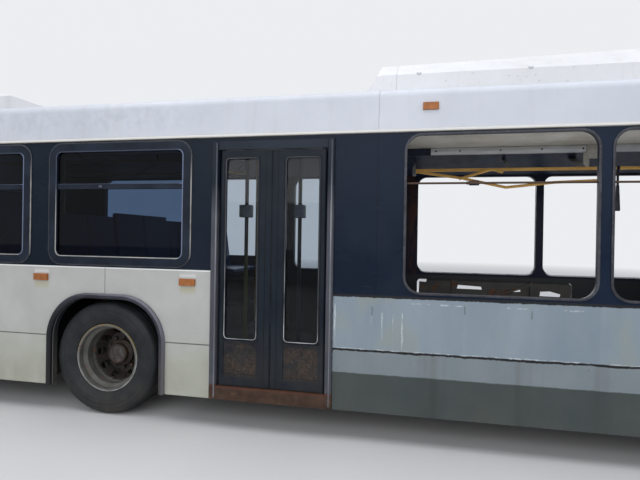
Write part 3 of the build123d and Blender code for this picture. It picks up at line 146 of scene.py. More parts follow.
softboxes = [
    # name, place, what it faces, width, height, power, whether it shows in a shiny surface
    ("overhead", (0.0, -2.0, 9.0), (0.0, 0.0, 2.0), 16.0, 8.0, 640.0, True),
    ("near_side", (-1.0, -12.0, 5.5), (0.0, -1.0, 1.2), 14.0, 6.0, 610.0, True),
    ("far_side", (-3.0, 13.0, 6.0), (0.0, 0.0, 1.5), 14.0, 6.0, 330.0, True),
    ("front", (16.0, -3.0, 5.0), (6.0, 0.0, 1.5), 6.0, 5.0, 200.0, True),
    ("rear", (-16.0, 2.0, 5.0), (-6.0, 0.0, 1.5), 6.0, 5.0, 180.0, True),
    ("cabin", (0.8, -0.1, 0.95), (0.8, 0.0, 2.6), 2.8, 1.1, 7.0, False),
]
for name, place, aim, width, height, power, shines in softboxes:
    lamp = bpy.data.lights.new(name, "AREA")
    lamp.shape = "RECTANGLE"
    lamp.size, lamp.size_y = width, height
    lamp.energy = power
    lamp_object = bpy.data.objects.new(name, lamp)
    bpy.context.scene.collection.objects.link(lamp_object)
    lamp_object.location = place
    lamp_object.rotation_euler = (Vector(aim) - Vector(place)).to_track_quat("-Z", "Y").to_euler()
    lamp_object.visible_camera = False
    lamp_object.visible_transmission = False
    lamp_object.visible_glossy = shines


# Lower side panels
# Painted sheet below the belt: worn off-white at the rear and on the left, and on the right
# ahead of the rear door a stretch stripped and filled in blue-grey over a dark skirt.
def start_finish(name, **plain):
    """A new material with a Principled shader, its plain values set, and object coordinates."""
    finish = bpy.data.materials.new(name)
    finish.use_nodes = True
    tree = finish.node_tree
    tree.nodes.clear()
    shader = lay_node(tree, "BsdfPrincipled")
    for socket, value in plain.items():
        shader.inputs[socket.replace("_", " ")].default_value = value
    lay_node(tree, "OutputMaterial", {"Surface": shader.outputs[0]})
    place = lay_node(tree, "TexCoord").outputs["Object"]
    return finish, tree, shader, place


def finish_off(tree, shader, colour, roughness):
    """Feeds a finish its colour and its roughness."""
    tree.links.new(colour, shader.inputs["Base Color"])
    tree.links.new(roughness, shader.inputs["Roughness"])


def emboss(tree, shader, height, strength, depth):
    """Gives a finish a fine relief."""
    relief = lay_node(tree, "Bump", {"Height": height, "Strength": strength, "Distance": depth})
    tree.links.new(relief.outputs[0], shader.inputs["Normal"])


def tint(tree, share, under, over):
    """Two colours mixed by a share."""
    return lay_node(tree, "Mix", {0: share, 6: under, 7: over}, data_type="RGBA").outputs[2]


def cloud(tree, place, scale, detail=4.0, rough=0.55, stretch=(1, 1, 1), shift=(0, 0, 0)):
    """Noise over a piece, stretched and shifted by a Mapping node."""
    laid = lay_node(tree, "Mapping", {"Vector": place, "Location": shift, "Scale": stretch})
    return lay_node(tree, "TexNoise", {"Vector": laid.outputs[0], "Scale": scale, "Detail": detail,
                                       "Roughness": rough}).outputs["Fac"]


def within(tree, value, low, high, soft=0.004):
    """One inside a span and nothing outside it, with a short soft edge."""
    rise = ramp(tree, value, low - soft, low + soft)
    fall = ramp(tree, value, high - soft, high + soft, 1.0, 0.0)
    return times(tree, rise, fall)


def any_within(tree, value, spans, soft=0.004):
    """One inside any of several spans."""
    found = 0.0
    for low, high in spans:
        found = work_out(tree, "MAXIMUM", found, within(tree, value, low, high, soft))
    return found


def grouped(name, inputs, outputs):
    """An empty shader node group with named sockets, and its input and output nodes."""
    group = bpy.data.node_groups.new(name, "ShaderNodeTree")
    for socket, kind, value in inputs:
        made = group.interface.new_socket(name=socket, in_out="INPUT", socket_type="NodeSocket" + kind)
        made.default_value = value
    for socket, kind in outputs:
        group.interface.new_socket(name=socket, in_out="OUTPUT", socket_type="NodeSocket" + kind)
    return group, group.nodes.new("NodeGroupInput"), group.nodes.new("NodeGroupOutput")


def use_group(tree, group, sockets):
    """A node group placed in a material with its own values."""
    return lay_node(tree, "Group", sockets, node_tree=group)


road_soil, soil_in, soil_out = grouped(
    "road soil",
    [("Colour", "Color", (0.5, 0.5, 0.5, 1)), ("Soil", "Color", (0.20, 0.17, 0.12, 1)),
     ("Clean Above", "Float", 0.9), ("Thick Below", "Float", 0.3), ("Strength", "Float", 0.5)],
    [("Colour", "Color"), ("Mask", "Float")])
soil_place = lay_node(road_soil, "TexCoord").outputs["Object"]
soil_height = split_axes(road_soil, soil_place)["Z"]
soil_level = ramp(road_soil, soil_height, soil_in.outputs["Clean Above"], soil_in.outputs["Thick Below"])
soil_noise = ramp(road_soil, cloud(road_soil, soil_place, 2.6, 8.0, 0.62), 0.35, 0.68)
soil_runs = ramp(road_soil, cloud(road_soil, soil_place, 9.0, 5.0, 0.6, (1, 1, 0.12)), 0.45, 0.7)
soil_sum = work_out(road_soil, "MULTIPLY_ADD", soil_runs, 0.45, soil_noise)
soil_mask = times(road_soil, soil_level, soil_sum)
soil_mask = work_out(road_soil, "MULTIPLY", soil_mask, soil_in.outputs["Strength"], clamp=True)
soil_colour = tint(road_soil, soil_mask, soil_in.outputs["Colour"], soil_in.outputs["Soil"])
road_soil.links.new(soil_colour, soil_out.inputs["Colour"])
road_soil.links.new(soil_mask, soil_out.inputs["Mask"])

rust_bloom, rust_in, rust_out = grouped(
    "rust bloom",
    [("Colour", "Color", (0.5, 0.5, 0.5, 1)), ("Cover", "Float", 0.3), ("Grain", "Float", 6.0)],
    [("Colour", "Color"), ("Mask", "Float")])
rust_place = lay_node(rust_bloom, "TexCoord").outputs["Object"]
rust_noise = lay_node(rust_bloom, "TexNoise", {"Vector": rust_place, "Scale": rust_in.outputs["Grain"],
                                               "Detail": 9.0, "Roughness": 0.66}).outputs["Fac"]
rust_edge = work_out(rust_bloom, "SUBTRACT", 0.78, times(rust_bloom, rust_in.outputs["Cover"], 0.5))
rust_mask = ramp(rust_bloom, rust_noise, rust_edge, work_out(rust_bloom, "ADD", rust_edge, 0.07))
rust_tone = ramp(rust_bloom, cloud(rust_bloom, rust_place, 34.0, 6.0, 0.7), 0.35, 0.65)
rust_colour = tint(rust_bloom, rust_tone, (0.075, 0.028, 0.012, 1), (0.23, 0.085, 0.030, 1))
rust_colour = tint(rust_bloom, rust_mask, rust_in.outputs["Colour"], rust_colour)
rust_bloom.links.new(rust_colour, rust_out.inputs["Colour"])
rust_bloom.links.new(rust_mask, rust_out.inputs["Mask"])

scuffs, scuff_in, scuff_out = grouped(
    "scuffs", [("Grain", "Float", 3.0), ("Cover", "Float", 0.4)], [("Mask", "Float")])
scuff_place = lay_node(scuffs, "TexCoord").outputs["Object"]
scuff_laid = lay_node(scuffs, "Mapping", {"Vector": scuff_place, "Rotation": (0, 0.09, 0),
                                          "Scale": (0.35, 0.35, 13)}).outputs[0]
scuff_lines = lay_node(scuffs, "TexNoise", {"Vector": scuff_laid, "Scale": scuff_in.outputs["Grain"],
                                            "Detail": 3.0}).outputs["Fac"]
scuff_spread = ramp(scuffs, cloud(scuffs, scuff_place, 1.7, 3.0), 0.45, 0.62)
scuff_edge = work_out(scuffs, "SUBTRACT", 0.80, times(scuffs, scuff_in.outputs["Cover"], 0.3))
scuff_mask = ramp(scuffs, scuff_lines, scuff_edge, work_out(scuffs, "ADD", scuff_edge, 0.03))
scuffs.links.new(times(scuffs, scuff_mask, scuff_spread), scuff_out.inputs["Mask"])


def dress(finish, *names):
    """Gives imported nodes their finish."""
    for name in names:
        nodes[name].data.materials.clear()
        nodes[name].data.materials.append(finish)


off_white = (0.47, 0.475, 0.455, 1)
repair_rear_x, repair_front_x = -1.16, 3.322
band_top = 0.715
skirt_top = 0.538
inner_face = (1.2935, 1.2885)
chip_marks = [
    # rear x, front x, low z, high z
    (-1.136, -1.127, 0.74, 1.13), (-0.844, -0.836, 0.735, 0.81), (-0.846, -0.838, 0.88, 1.00),
    (-0.765, -0.760, 0.79, 1.02), (-0.682, -0.678, 0.78, 1.00), (-0.613, -0.607, 0.74, 1.02),
    (-0.54, -0.40, 1.092, 1.099), (-0.34, -0.14, 1.090, 1.096), (0.145, 0.350, 1.090, 1.096),
    (0.520, 0.660, 1.090, 1.096),
]
tick_marks = [
    # x, low z, high z
    (-0.840, 0.99, 1.06), (-0.152, 1.03, 1.10), (0.315, 1.02, 1.08),
]
marker_spans = [(-3.890, -3.745), (-2.463, -2.321)]
flank_paint, tree, shader, place = start_finish("flank_paint", Specular_IOR_Level=0.3)
axes = split_axes(tree, place)
wander = work_out(tree, "MULTIPLY_ADD", cloud(tree, place, 9.0, 6.0, 0.7), 0.014, -0.007)
height = work_out(tree, "ADD", axes["Z"], wander)
mottle = ramp(tree, cloud(tree, place, 3.2, 6.0, 0.6), 0.3, 0.7)
paint = tint(tree, mottle, off_white, (0.40, 0.405, 0.385, 1))
filler_patch = ramp(tree, cloud(tree, place, 1.5, 5.0, 0.55, (1, 1, 0.35), (3, 0, 1)), 0.36, 0.66)
filler = tint(tree, filler_patch, (0.195, 0.245, 0.290, 1), (0.265, 0.315, 0.355, 1))
ochre = ramp(tree, cloud(tree, place, 3.1, 4.0, 0.5, (1, 1, 0.8), (7, 2, 5)), 0.54, 0.72, 0.0, 0.50)
filler = tint(tree, ochre, filler, (0.27, 0.29, 0.22, 1))
upright = ramp(tree, cloud(tree, place, 6.0, 3.0, 0.5, (1, 1, 0.04), (2, 0, 0)), 0.60, 0.74, 0.0, 0.35)
filler = tint(tree, upright, filler, (0.34, 0.38, 0.41, 1))
jagged = work_out(tree, "MULTIPLY_ADD", cloud(tree, place, 26.0, 5.0, 0.7), 0.024, -0.012)
jagged_x = work_out(tree, "ADD", axes["X"], jagged)
jagged_z = work_out(tree, "ADD", axes["Z"], jagged)
chipped = ramp(tree, cloud(tree, place, 15.0, 5.0, 0.65, (1, 1, 0.35), (4, 0, 2)), 0.44, 0.58)
chips = 0.0
for rear_x, front_x, low_z, high_z in chip_marks:
    chip = times(tree, within(tree, jagged_x, rear_x, front_x), within(tree, jagged_z, low_z, high_z))
    chips = work_out(tree, "MAXIMUM", chips, chip)
filler = tint(tree, times(tree, chips, chipped), filler, (0.55, 0.60, 0.63, 1))
torn_edge = times(tree, within(tree, jagged_z, 0.724, 0.731, 0.003), chipped)
filler = tint(tree, times(tree, torn_edge, 0.7), filler, (0.60, 0.63, 0.65, 1))
ticks = 0.0
for tick_x, low_z, high_z in tick_marks:
    tick = within(tree, jagged_x, tick_x - 0.003, tick_x + 0.003)
    tick = times(tree, tick, within(tree, axes["Z"], low_z, high_z))
    ticks = work_out(tree, "MAXIMUM", ticks, tick)
filler = tint(tree, times(tree, ticks, 0.8), filler, (0.05, 0.055, 0.06, 1))
lower_band = tint(tree, mottle, (0.165, 0.200, 0.220, 1), (0.205, 0.238, 0.255, 1))
spotted = use_group(tree, rust_bloom, {"Colour": lower_band, "Cover": 0.24, "Grain": 18.0})
drips = ramp(tree, cloud(tree, place, 5.0, 4.0, 0.5, (1, 1, 0.05), (1, 0, 0)), 0.57, 0.72, 0.0, 0.45)
lower_band = tint(tree, drips, spotted.outputs["Colour"], (0.105, 0.105, 0.095, 1))
skirt_tone = tint(tree, mottle, (0.043, 0.054, 0.053, 1), (0.054, 0.066, 0.064, 1))
skirt_tone = tint(tree, drips, skirt_tone, (0.020, 0.026, 0.027, 1))
repair = tint(tree, within(tree, height, 0.0, band_top, 0.003), filler, lower_band)
repair = tint(tree, within(tree, height, 0.0, skirt_top, 0.004), repair, skirt_tone)
crack_wave = work_out(tree, "MULTIPLY_ADD", cloud(tree, place, 22.0, 8.0, 0.75), 0.030, -0.015)
crack_height = work_out(tree, "ADD", axes["Z"], crack_wave)
# Along the top of the repair, a ragged gap under the band, darkened nearly black as painted shade in the
# gap.
top_gap_shade = within(tree, crack_height, 1.129, 1.30, 0.002)
repair = tint(tree, top_gap_shade, repair, (0.006, 0.007, 0.009, 1))
crack_low = ramp(tree, cloud(tree, place, 4.0, 4.0), 0.35, 0.65, 0.703, 0.711)
crack_foot = ramp(tree, work_out(tree, "SUBTRACT", crack_height, crack_low), -0.002, 0.002)
opened = times(tree, crack_foot, ramp(tree, crack_height, 0.7265, 0.7225))
repair = tint(tree, opened, repair, (0.010, 0.010, 0.011, 1))
# Beside the door post, the gap at the rear edge of the repair is darkened as painted shade.
rear_gap_shade = within(tree, jagged_x, -1.22, -1.147, 0.002)
repair = tint(tree, rear_gap_shade, repair, (0.015, 0.016, 0.019, 1))
right_flank = ramp(tree, axes["Y"], 0.05, -0.05)
repaired = times(tree, within(tree, axes["X"], repair_rear_x, repair_front_x, 0.002), right_flank)
mossy = times(tree, ramp(tree, height, 0.74, 0.50), ramp(tree, mottle, 0.0, 1.0, 0.45, 0.85))
paint = tint(tree, mossy, paint, (0.40, 0.41, 0.325, 1))
# Painted highlight: a pale line along the top edge of the panel, where sunlight catches it.
sunlit_belt_edge = within(tree, axes["Z"], 1.2885, 1.2985, 0.001)
paint = tint(tree, sunlit_belt_edge, paint, (0.74, 0.75, 0.74, 1))
# Beside each side marker: a soft painted highlight above it and a yellowish painted reflection of the amber
# lens below it.
for rear_x, front_x in marker_spans:
    beside = times(tree, within(tree, axes["X"], rear_x, front_x, 0.008), right_flank)
    marker_highlight = times(tree, beside, within(tree, height, 1.232, 1.262, 0.012))
    paint = tint(tree, times(tree, marker_highlight, 0.55), paint, (0.72, 0.73, 0.73, 1))
    amber_reflection = times(tree, beside, within(tree, height, 1.105, 1.160, 0.015))
    paint = tint(tree, times(tree, amber_reflection, 0.6), paint, (0.43, 0.41, 0.26, 1))
paint = tint(tree, repaired, paint, repair)
# Darker along the seam, outside the repaired stretch.
seam_darkening = within(tree, axes["Z"], 0.674, 0.685, 0.004)
seam_darkening = times(tree, seam_darkening, work_out(tree, "SUBTRACT", 1.0, repaired))
paint = tint(tree, times(tree, seam_darkening, 0.75), paint, (0.16, 0.155, 0.14, 1))
fine_marks = use_group(tree, scuffs, {"Grain": 9.0, "Cover": 0.28}).outputs["Mask"]
fine_marks = times(tree, fine_marks, ramp(tree, repaired, 0.0, 1.0, 0.35, 0.05))
paint = tint(tree, fine_marks, paint, (0.22, 0.22, 0.21, 1))
reach_out = work_out(tree, "ABSOLUTE", axes["Y"])
paint = tint(tree, ramp(tree, reach_out, *inner_face), paint, (0.018, 0.020, 0.024, 1))
soiled = use_group(tree, road_soil, {"Colour": paint, "Soil": (0.21, 0.20, 0.15, 1), "Clean Above": 0.80,
                                     "Thick Below": 0.22, "Strength": 0.42})
paint = tint(tree, times(tree, repaired, 0.8), soiled.outputs["Colour"], paint)
gloss = ramp(tree, work_out(tree, "MAXIMUM", repaired, soiled.outputs["Mask"]), 0.0, 1.0, 0.34, 0.62)
finish_off(tree, shader, paint, gloss)
fine_dents = times(tree, cloud(tree, place, 60.0, 3.0), 0.02)
dents = work_out(tree, "MULTIPLY_ADD", cloud(tree, place, 1.6, 2.0, 0.4), 0.7, fine_dents)
emboss(tree, shader, dents, 0.35, 0.012)
dress(flank_paint, "lower_side_panels")

# Window bands
# The dark stretch between belt and cove, sprayed near-black with a blue cast that grows
# towards the front, chalked by weather and scratched beside the doors.
band_paint, tree, shader, place = start_finish("band_paint", Specular_IOR_Level=0.08)
axes = split_axes(tree, place)
forward = ramp(tree, axes["X"], -2.6, 0.4)
base = tint(tree, forward, (0.0075, 0.0125, 0.0210, 1), (0.0070, 0.0145, 0.0320, 1))
chalk = ramp(tree, cloud(tree, place, 1.8, 7.0, 0.65), 0.42, 0.74, 0.0, 0.20)
base = tint(tree, chalk, base, (0.034, 0.045, 0.066, 1))
nicks = use_group(tree, scuffs, {"Grain": 7.0, "Cover": 0.30}).outputs["Mask"]
base = tint(tree, times(tree, nicks, 0.30), base, (0.16, 0.18, 0.21, 1))
joint = within(tree, axes["X"], -0.817, -0.811, 0.002)
base = tint(tree, times(tree, joint, 0.6), base, (0.004, 0.005, 0.007, 1))
lining = tint(tree, chalk, (0.014, 0.018, 0.034, 1), (0.030, 0.036, 0.054, 1))
wavy_x = work_out(tree, "MULTIPLY_ADD", cloud(tree, place, 5.0, 5.0), 0.08, axes["X"])
streaks = ramp(tree, cloud(tree, place, 14.0, 5.0, 0.6, (1, 1, 0.2)), 0.40, 0.58, 0.0, 0.8)
brown_run = times(tree, within(tree, wavy_x, -0.67, -0.53, 0.02), streaks)
lining = tint(tree, brown_run, lining, (0.075, 0.034, 0.026, 1))
base = tint(tree, ramp(tree, work_out(tree, "ABSOLUTE", axes["Y"]), *inner_face), base, lining)
finish_off(tree, shader, base, ramp(tree, chalk, 0.0, 0.24, 0.26, 0.46))
emboss(tree, shader, cloud(tree, place, 2.2, 2.0, 0.4), 0.22, 0.01)
dress(band_paint, "window_bands")

# Cove, roof, roof covers and end caps
# Pale gel-coat mouldings and panels: cooler and cleaner high up, greyer where soil runs down,
# with a dull ghost of cleaned-off paint along the rear half of the cove.
cove_paint, tree, shader, place = start_finish("cove_paint", Specular_IOR_Level=0.35)
axes = split_axes(tree, place)
weathering = ramp(tree, cloud(tree, place, 1.3, 6.0, 0.6), 0.35, 0.68)
base = tint(tree, weathering, (0.565, 0.590, 0.645, 1), (0.50, 0.525, 0.58, 1))
rubbed = times(tree, within(tree, axes["X"], -5.2, -2.35, 0.35), within(tree, axes["Z"], 2.50, 2.68, 0.05))
rubbed = times(tree, rubbed, ramp(tree, cloud(tree, place, 11.0, 7.0, 0.7), 0.42, 0.60, 0.0, 0.55))
base = tint(tree, rubbed, base, (0.43, 0.46, 0.52, 1))
runs = ramp(tree, cloud(tree, place, 8.0, 5.0, 0.6, (1, 1, 0.10)), 0.52, 0.72, 0.0, 0.30)
base = tint(tree, runs, base, (0.42, 0.43, 0.44, 1))
forward = ramp(tree, axes["X"], -1.0, 2.4, 0.0, 0.45)
base = tint(tree, forward, base, (0.43, 0.46, 0.53, 1))
# Painted highlight: the lower lip is painted warmer and paler, where the sun catches it.
lip = within(tree, axes["Z"], 2.395, 2.429, 0.004)
base = tint(tree, lip, base, (0.60, 0.595, 0.57, 1))
# Darker and browner in patches along the underside of the lip.
lip_underside_patches = ramp(tree, cloud(tree, place, 5.0, 6.0), 0.35, 0.6, 0.35, 0.9)
lip_underside_tone = times(tree, within(tree, axes["Z"], 2.39, 2.4045, 0.003), lip_underside_patches)
base = tint(tree, lip_underside_tone, base, (0.33, 0.29, 0.21, 1))
finish_off(tree, shader, base, ramp(tree, runs, 0.0, 0.3, 0.32, 0.5))
emboss(tree, shader, cloud(tree, place, 1.2, 2.0, 0.4), 0.25, 0.012)
dress(cove_paint, "cove_panels")

gel_coat, tree, shader, place = start_finish("gel_coat", Specular_IOR_Level=0.45)
weathering = ramp(tree, cloud(tree, place, 1.1, 7.0, 0.62), 0.36, 0.7)
base = tint(tree, weathering, (0.70, 0.71, 0.735, 1), (0.60, 0.61, 0.625, 1))
speckle = ramp(tree, cloud(tree, place, 26.0, 4.0, 0.6), 0.64, 0.72, 0.0, 0.5)
base = tint(tree, speckle, base, (0.34, 0.33, 0.30, 1))
runs = ramp(tree, cloud(tree, place, 7.0, 5.0, 0.6, (1, 1, 0.10)), 0.55, 0.75, 0.0, 0.35)
base = tint(tree, runs, base, (0.40, 0.39, 0.36, 1))
soiled = use_group(tree, road_soil, {"Colour": base, "Soil": (0.25, 0.23, 0.18, 1), "Clean Above": 1.1,
                                     "Thick Below": 0.3, "Strength": 0.5})
finish_off(tree, shader, soiled.outputs["Colour"], ramp(tree, soiled.outputs["Mask"], 0.0, 1.0, 0.34, 0.7))
emboss(tree, shader, cloud(tree, place, 2.0, 3.0, 0.4), 0.2, 0.008)
dress(gel_coat, "roof_skin", "roof_pod", "air_unit_cover", "roof_hatch", "front_cap", "rear_cap",
      "engine_door")

# Glass
# Toughened panes held in rubber: dark blue along the sides, smoked in the doors and nearly
# clear in the windscreen, all with patches of a dusty film.
panes = [
    # finish, tint, bending of light, nodes
    ("side_glass", (0.060, 0.100, 0.175), 1.20, ["window_panes"]),
    ("door_glass", (0.38, 0.44, 0.50), 1.26, ["rear_door_aft_glass", "rear_door_fore_glass",
                                              "front_door_aft_glass", "front_door_fore_glass"]),
    ("screen_glass", (0.62, 0.70, 0.70), 1.45, ["windscreen_panes"]),
]
for name, (red, green, blue), bending, names in panes:
    glazing, tree, shader, place = start_finish(name, Transmission_Weight=1.0, IOR=bending, Metallic=0.0,
                                                Roughness=0.0)
    film = ramp(tree, cloud(tree, place, 3.0, 7.0, 0.65), 0.45, 0.75, 0.0, 0.10)
    clouded = tint(tree, film, (red, green, blue, 1), (0.5 * red, 0.5 * green, 0.5 * blue, 1))
    tree.links.new(clouded, shader.inputs["Base Color"])
    dress(glazing, *names)

# Window frames
# Black-coated aluminium frames held by rubber, with a bar between the fixed pane and the vent.
# Those on the left are painted pale along the foot, a painted highlight where light falls on the sill, and
# the bar left in the open windows is rusty.
frame_coat, tree, shader, place = start_finish("frame_coat", Specular_IOR_Level=0.13)
axes = split_axes(tree, place)
dusty = ramp(tree, cloud(tree, place, 5.0, 6.0), 0.4, 0.7)
base = tint(tree, dusty, (0.008, 0.012, 0.021, 1), (0.018, 0.025, 0.040, 1))
# Painted highlight on the upward face of the sills on the left.
foot = times(tree, ramp(tree, axes["Z"], 1.215, 1.200), ramp(tree, axes["Y"], 1.0, 1.1))
sill_highlight = times(tree, foot, ramp(tree, cloud(tree, place, 7.0, 6.0), 0.3, 0.45, 0.55, 1.0))
base = tint(tree, sill_highlight, base, (0.56, 0.59, 0.62, 1))
bar = times(tree, within(tree, axes["Z"], 2.003, 2.023, 0.002), ramp(tree, axes["Y"], -1.256, -1.262))
bar = times(tree, bar, within(tree, axes["X"], -0.62, 2.20, 0.01))
base = tint(tree, bar, base, (0.075, 0.048, 0.033, 1))
finish_off(tree, shader, base, ramp(tree, cloud(tree, place, 12.0, 5.0), 0.3, 0.7, 0.28, 0.5))
dress(frame_coat, "window_frames", "mirrors")

# Rubber
# Arch trims, bumpers and air springs: moulded black rubber with a chalky bloom, painted lighter grey-violet
# where it faces the sky and forward as a painted highlight. The trims' rear leg is painted dark as painted
# shade, and soil lies along their feet.
rear_axle_x, front_axle_x, axle_z = -3.19, 3.90, 0.495


def ahead_of_axle(tree, x):
    """How far a point is ahead of the axle at its own end of the bus."""
    at_front = work_out(tree, "GREATER_THAN", x, 0.0)
    axle_x = work_out(tree, "MULTIPLY_ADD", at_front, front_axle_x - rear_axle_x, rear_axle_x)
    return work_out(tree, "SUBTRACT", x, axle_x)


aged_rubber, tree, shader, place = start_finish("aged_rubber", Specular_IOR_Level=0.2)
axes = split_axes(tree, place)
facing = split_axes(tree, lay_node(tree, "NewGeometry").outputs["True Normal"])
bloom = ramp(tree, cloud(tree, place, 4.0, 7.0, 0.65), 0.35, 0.70)
base = tint(tree, bloom, (0.020, 0.020, 0.027, 1), (0.052, 0.051, 0.066, 1))
ahead = ahead_of_axle(tree, axes["X"])
# Painted highlight: lighter grey-violet on faces turned up and forward, weakest behind the axle.
skyward = work_out(tree, "MULTIPLY_ADD", facing["X"], 0.8, facing["Z"])
skyward = times(tree, skyward, ramp(tree, ahead, -0.50, 0.0, 0.12, 1.0))
skyward_highlight = times(tree, ramp(tree, skyward, 0.15, 0.85, 0.0, 0.95), ramp(tree, bloom, 0.0, 1.0, 0.75, 1.0))
base = tint(tree, skyward_highlight, base, (0.165, 0.160, 0.190, 1))
soiled = use_group(tree, road_soil, {"Colour": base, "Soil": (0.16, 0.14, 0.10, 1), "Clean Above": 0.7,
                                     "Thick Below": 0.2, "Strength": 0.4})
# Painted shade: the rear leg of each arch trim is darkened.
rear_leg_shade = times(tree, within(tree, ahead, -0.80, -0.44, 0.06), 0.85)
base = tint(tree, rear_leg_shade, soiled.outputs["Colour"], (0.012, 0.012, 0.015, 1))
finish_off(tree, shader, base, ramp(tree, bloom, 0.0, 1.0, 0.34, 0.55))
emboss(tree, shader, cloud(tree, place, 120.0, 3.0), 0.15, 0.002)
dress(aged_rubber, "arch_trims", "bumpers", "air_springs")

# Window seals
# Extruded black rubber, pressed over the edge of each opening in the side panels. The openings
# that have lost their windows keep theirs, gone grey along the edge.
def round_edges(piece, width, steps=2, angle=0.6):
    """Rounds a piece's sharper edges with a bevel that is applied."""
    rounding = piece.modifiers.new("rounding", "BEVEL")
    rounding.width, rounding.segments = width, steps
    rounding.limit_method, rounding.angle_limit = "ANGLE", angle
    bpy.context.view_layer.objects.active = piece
    bpy.ops.object.modifier_apply(modifier=rounding.name)


def draw_ring(side, low, high, corner, border, inner_corner, face, depth):
    """A flat ring on one flank from two outlines, bridged and drawn inwards. Low and high are (x, z)."""
    bpy.ops.object.select_all(action="DESELECT")
    middle = ((low[0] + high[0]) / 2, side * face, (low[1] + high[1]) / 2)
    width, height = high[0] - low[0], high[1] - low[1]
    bpy.ops.mesh.primitive_plane_add(size=1, location=middle, rotation=(math.pi / 2, 0, 0))
    piece = bpy.context.object
    bpy.ops.object.transform_apply(location=True, rotation=True, scale=True)
    bpy.ops.object.mode_set(mode="EDIT")
    bpy.ops.mesh.select_all(action="SELECT")
    bpy.ops.transform.resize(value=(width, 1, height), center_override=middle)
    bpy.ops.mesh.bevel(offset=corner, segments=5, affect="VERTICES")
    bpy.ops.mesh.delete(type="ONLY_FACE")
    bpy.ops.mesh.primitive_plane_add(size=1, location=middle, rotation=(math.pi / 2, 0, 0))
    bpy.ops.transform.resize(value=(width - 2 * border, 1, height - 2 * border), center_override=middle)
    bpy.ops.mesh.bevel(offset=inner_corner, segments=5, affect="VERTICES")
    bpy.ops.mesh.delete(type="ONLY_FACE")
    bpy.ops.mesh.select_all(action="SELECT")
    bpy.ops.mesh.bridge_edge_loops()
    bpy.ops.mesh.select_all(action="SELECT")
    bpy.ops.mesh.extrude_region_move(TRANSFORM_OT_translate={"value": (0, -side * depth, 0)})
    bpy.ops.mesh.select_all(action="SELECT")
    bpy.ops.mesh.normals_make_consistent(inside=False)
    bpy.ops.object.mode_set(mode="OBJECT")
    return piece


def join_up(pieces):
    """Makes one piece of several."""
    bpy.ops.object.select_all(action="DESELECT")
    for piece in pieces:
        piece.select_set(True)
    bpy.context.view_layer.objects.active = pieces[0]
    bpy.ops.object.join()
    return pieces[0]


def hang_on(piece, name, finish, body, angle=0.6):
    """Names a piece, gives it its finish and shading, and fixes it to its body."""
    piece.name = name
    piece.data.name = name
    piece.data.materials.clear()
    piece.data.materials.append(finish)
    bpy.ops.object.select_all(action="DESELECT")
    piece.select_set(True)
    bpy.context.view_layer.objects.active = piece
    bpy.ops.object.shade_smooth_by_angle(angle=angle)
    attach(piece, body)


window_head = 2.380
window_corner = 0.120
flank_y = 1.295
glazed_windows = [
    # side, rear x, front x, sill z
    (-1, -5.312, -3.946, 1.322), (-1, -3.741, -2.375, 1.322), (-1, 2.280, 3.630, 1.176),
    (-1, 3.720, 4.400, 1.176), (1, 2.330, 3.680, 1.176), (1, 3.770, 4.410, 1.176), (1, 4.590, 5.640, 1.010),
]
bare_windows = [
    (-1, -0.600, 0.746, 1.176), (-1, 0.838, 2.188, 1.176), (1, -5.020, -3.670, 1.322),
    (1, -3.580, -2.258, 1.322), (1, -2.179, -0.790, 1.176), (1, -0.575, 0.837, 1.176),
    (1, 0.897, 2.240, 1.176),
]
lap = 0.012
seals = []
for side, x0, x1, sill in glazed_windows + bare_windows:
    seal = draw_ring(side, (x0 - lap, sill - lap), (x1 + lap, window_head + lap),
                     corner=window_corner + lap, border=1.7 * lap,
                     inner_corner=window_corner - 0.7 * lap, face=flank_y + 0.009, depth=0.009)
    round_edges(seal, 0.004)
    seals.append(seal)
seal_rubber, tree, shader, place = start_finish("seal_rubber", Specular_IOR_Level=0.3)
bloom = ramp(tree, cloud(tree, place, 6.0, 7.0, 0.65), 0.35, 0.70)
base = tint(tree, bloom, (0.016, 0.018, 0.024, 1), (0.060, 0.062, 0.076, 1))
worn = ramp(tree, cloud(tree, place, 30.0, 5.0), 0.55, 0.72, 0.0, 0.4)
base = tint(tree, worn, base, (0.13, 0.13, 0.15, 1))
axes = split_axes(tree, place)
# Painted highlight: a warm pale line down the fore edge of each glazed window's seal on the right flank.
fore_edges = [(x1 - 0.004, x1 + 0.010) for side, x0, x1, sill in glazed_windows if side < 0]
fore_edge_highlight = any_within(tree, axes["X"], fore_edges, 0.003)
fore_edge_highlight = times(tree, fore_edge_highlight, within(tree, axes["Z"], 1.45, 2.15, 0.12))
fore_edge_highlight = times(tree, fore_edge_highlight, ramp(tree, axes["Y"], 0.05, -0.05))
fore_edge_highlight = times(tree, fore_edge_highlight, ramp(tree, cloud(tree, place, 8.0, 5.0), 0.3, 0.55, 0.3, 0.85))
sunlit = times(tree, ramp(tree, axes["Z"], 1.275, 1.225), ramp(tree, axes["Y"], -0.05, 0.05))
base = tint(tree, times(tree, sunlit, 0.9), base, (0.62, 0.63, 0.64, 1))
base = tint(tree, fore_edge_highlight, base, (0.40, 0.385, 0.36, 1))
finish_off(tree, shader, base, ramp(tree, bloom, 0.0, 1.0, 0.38, 0.6))
hang_on(join_up(seals), "window_seals", seal_rubber, "bus_body")

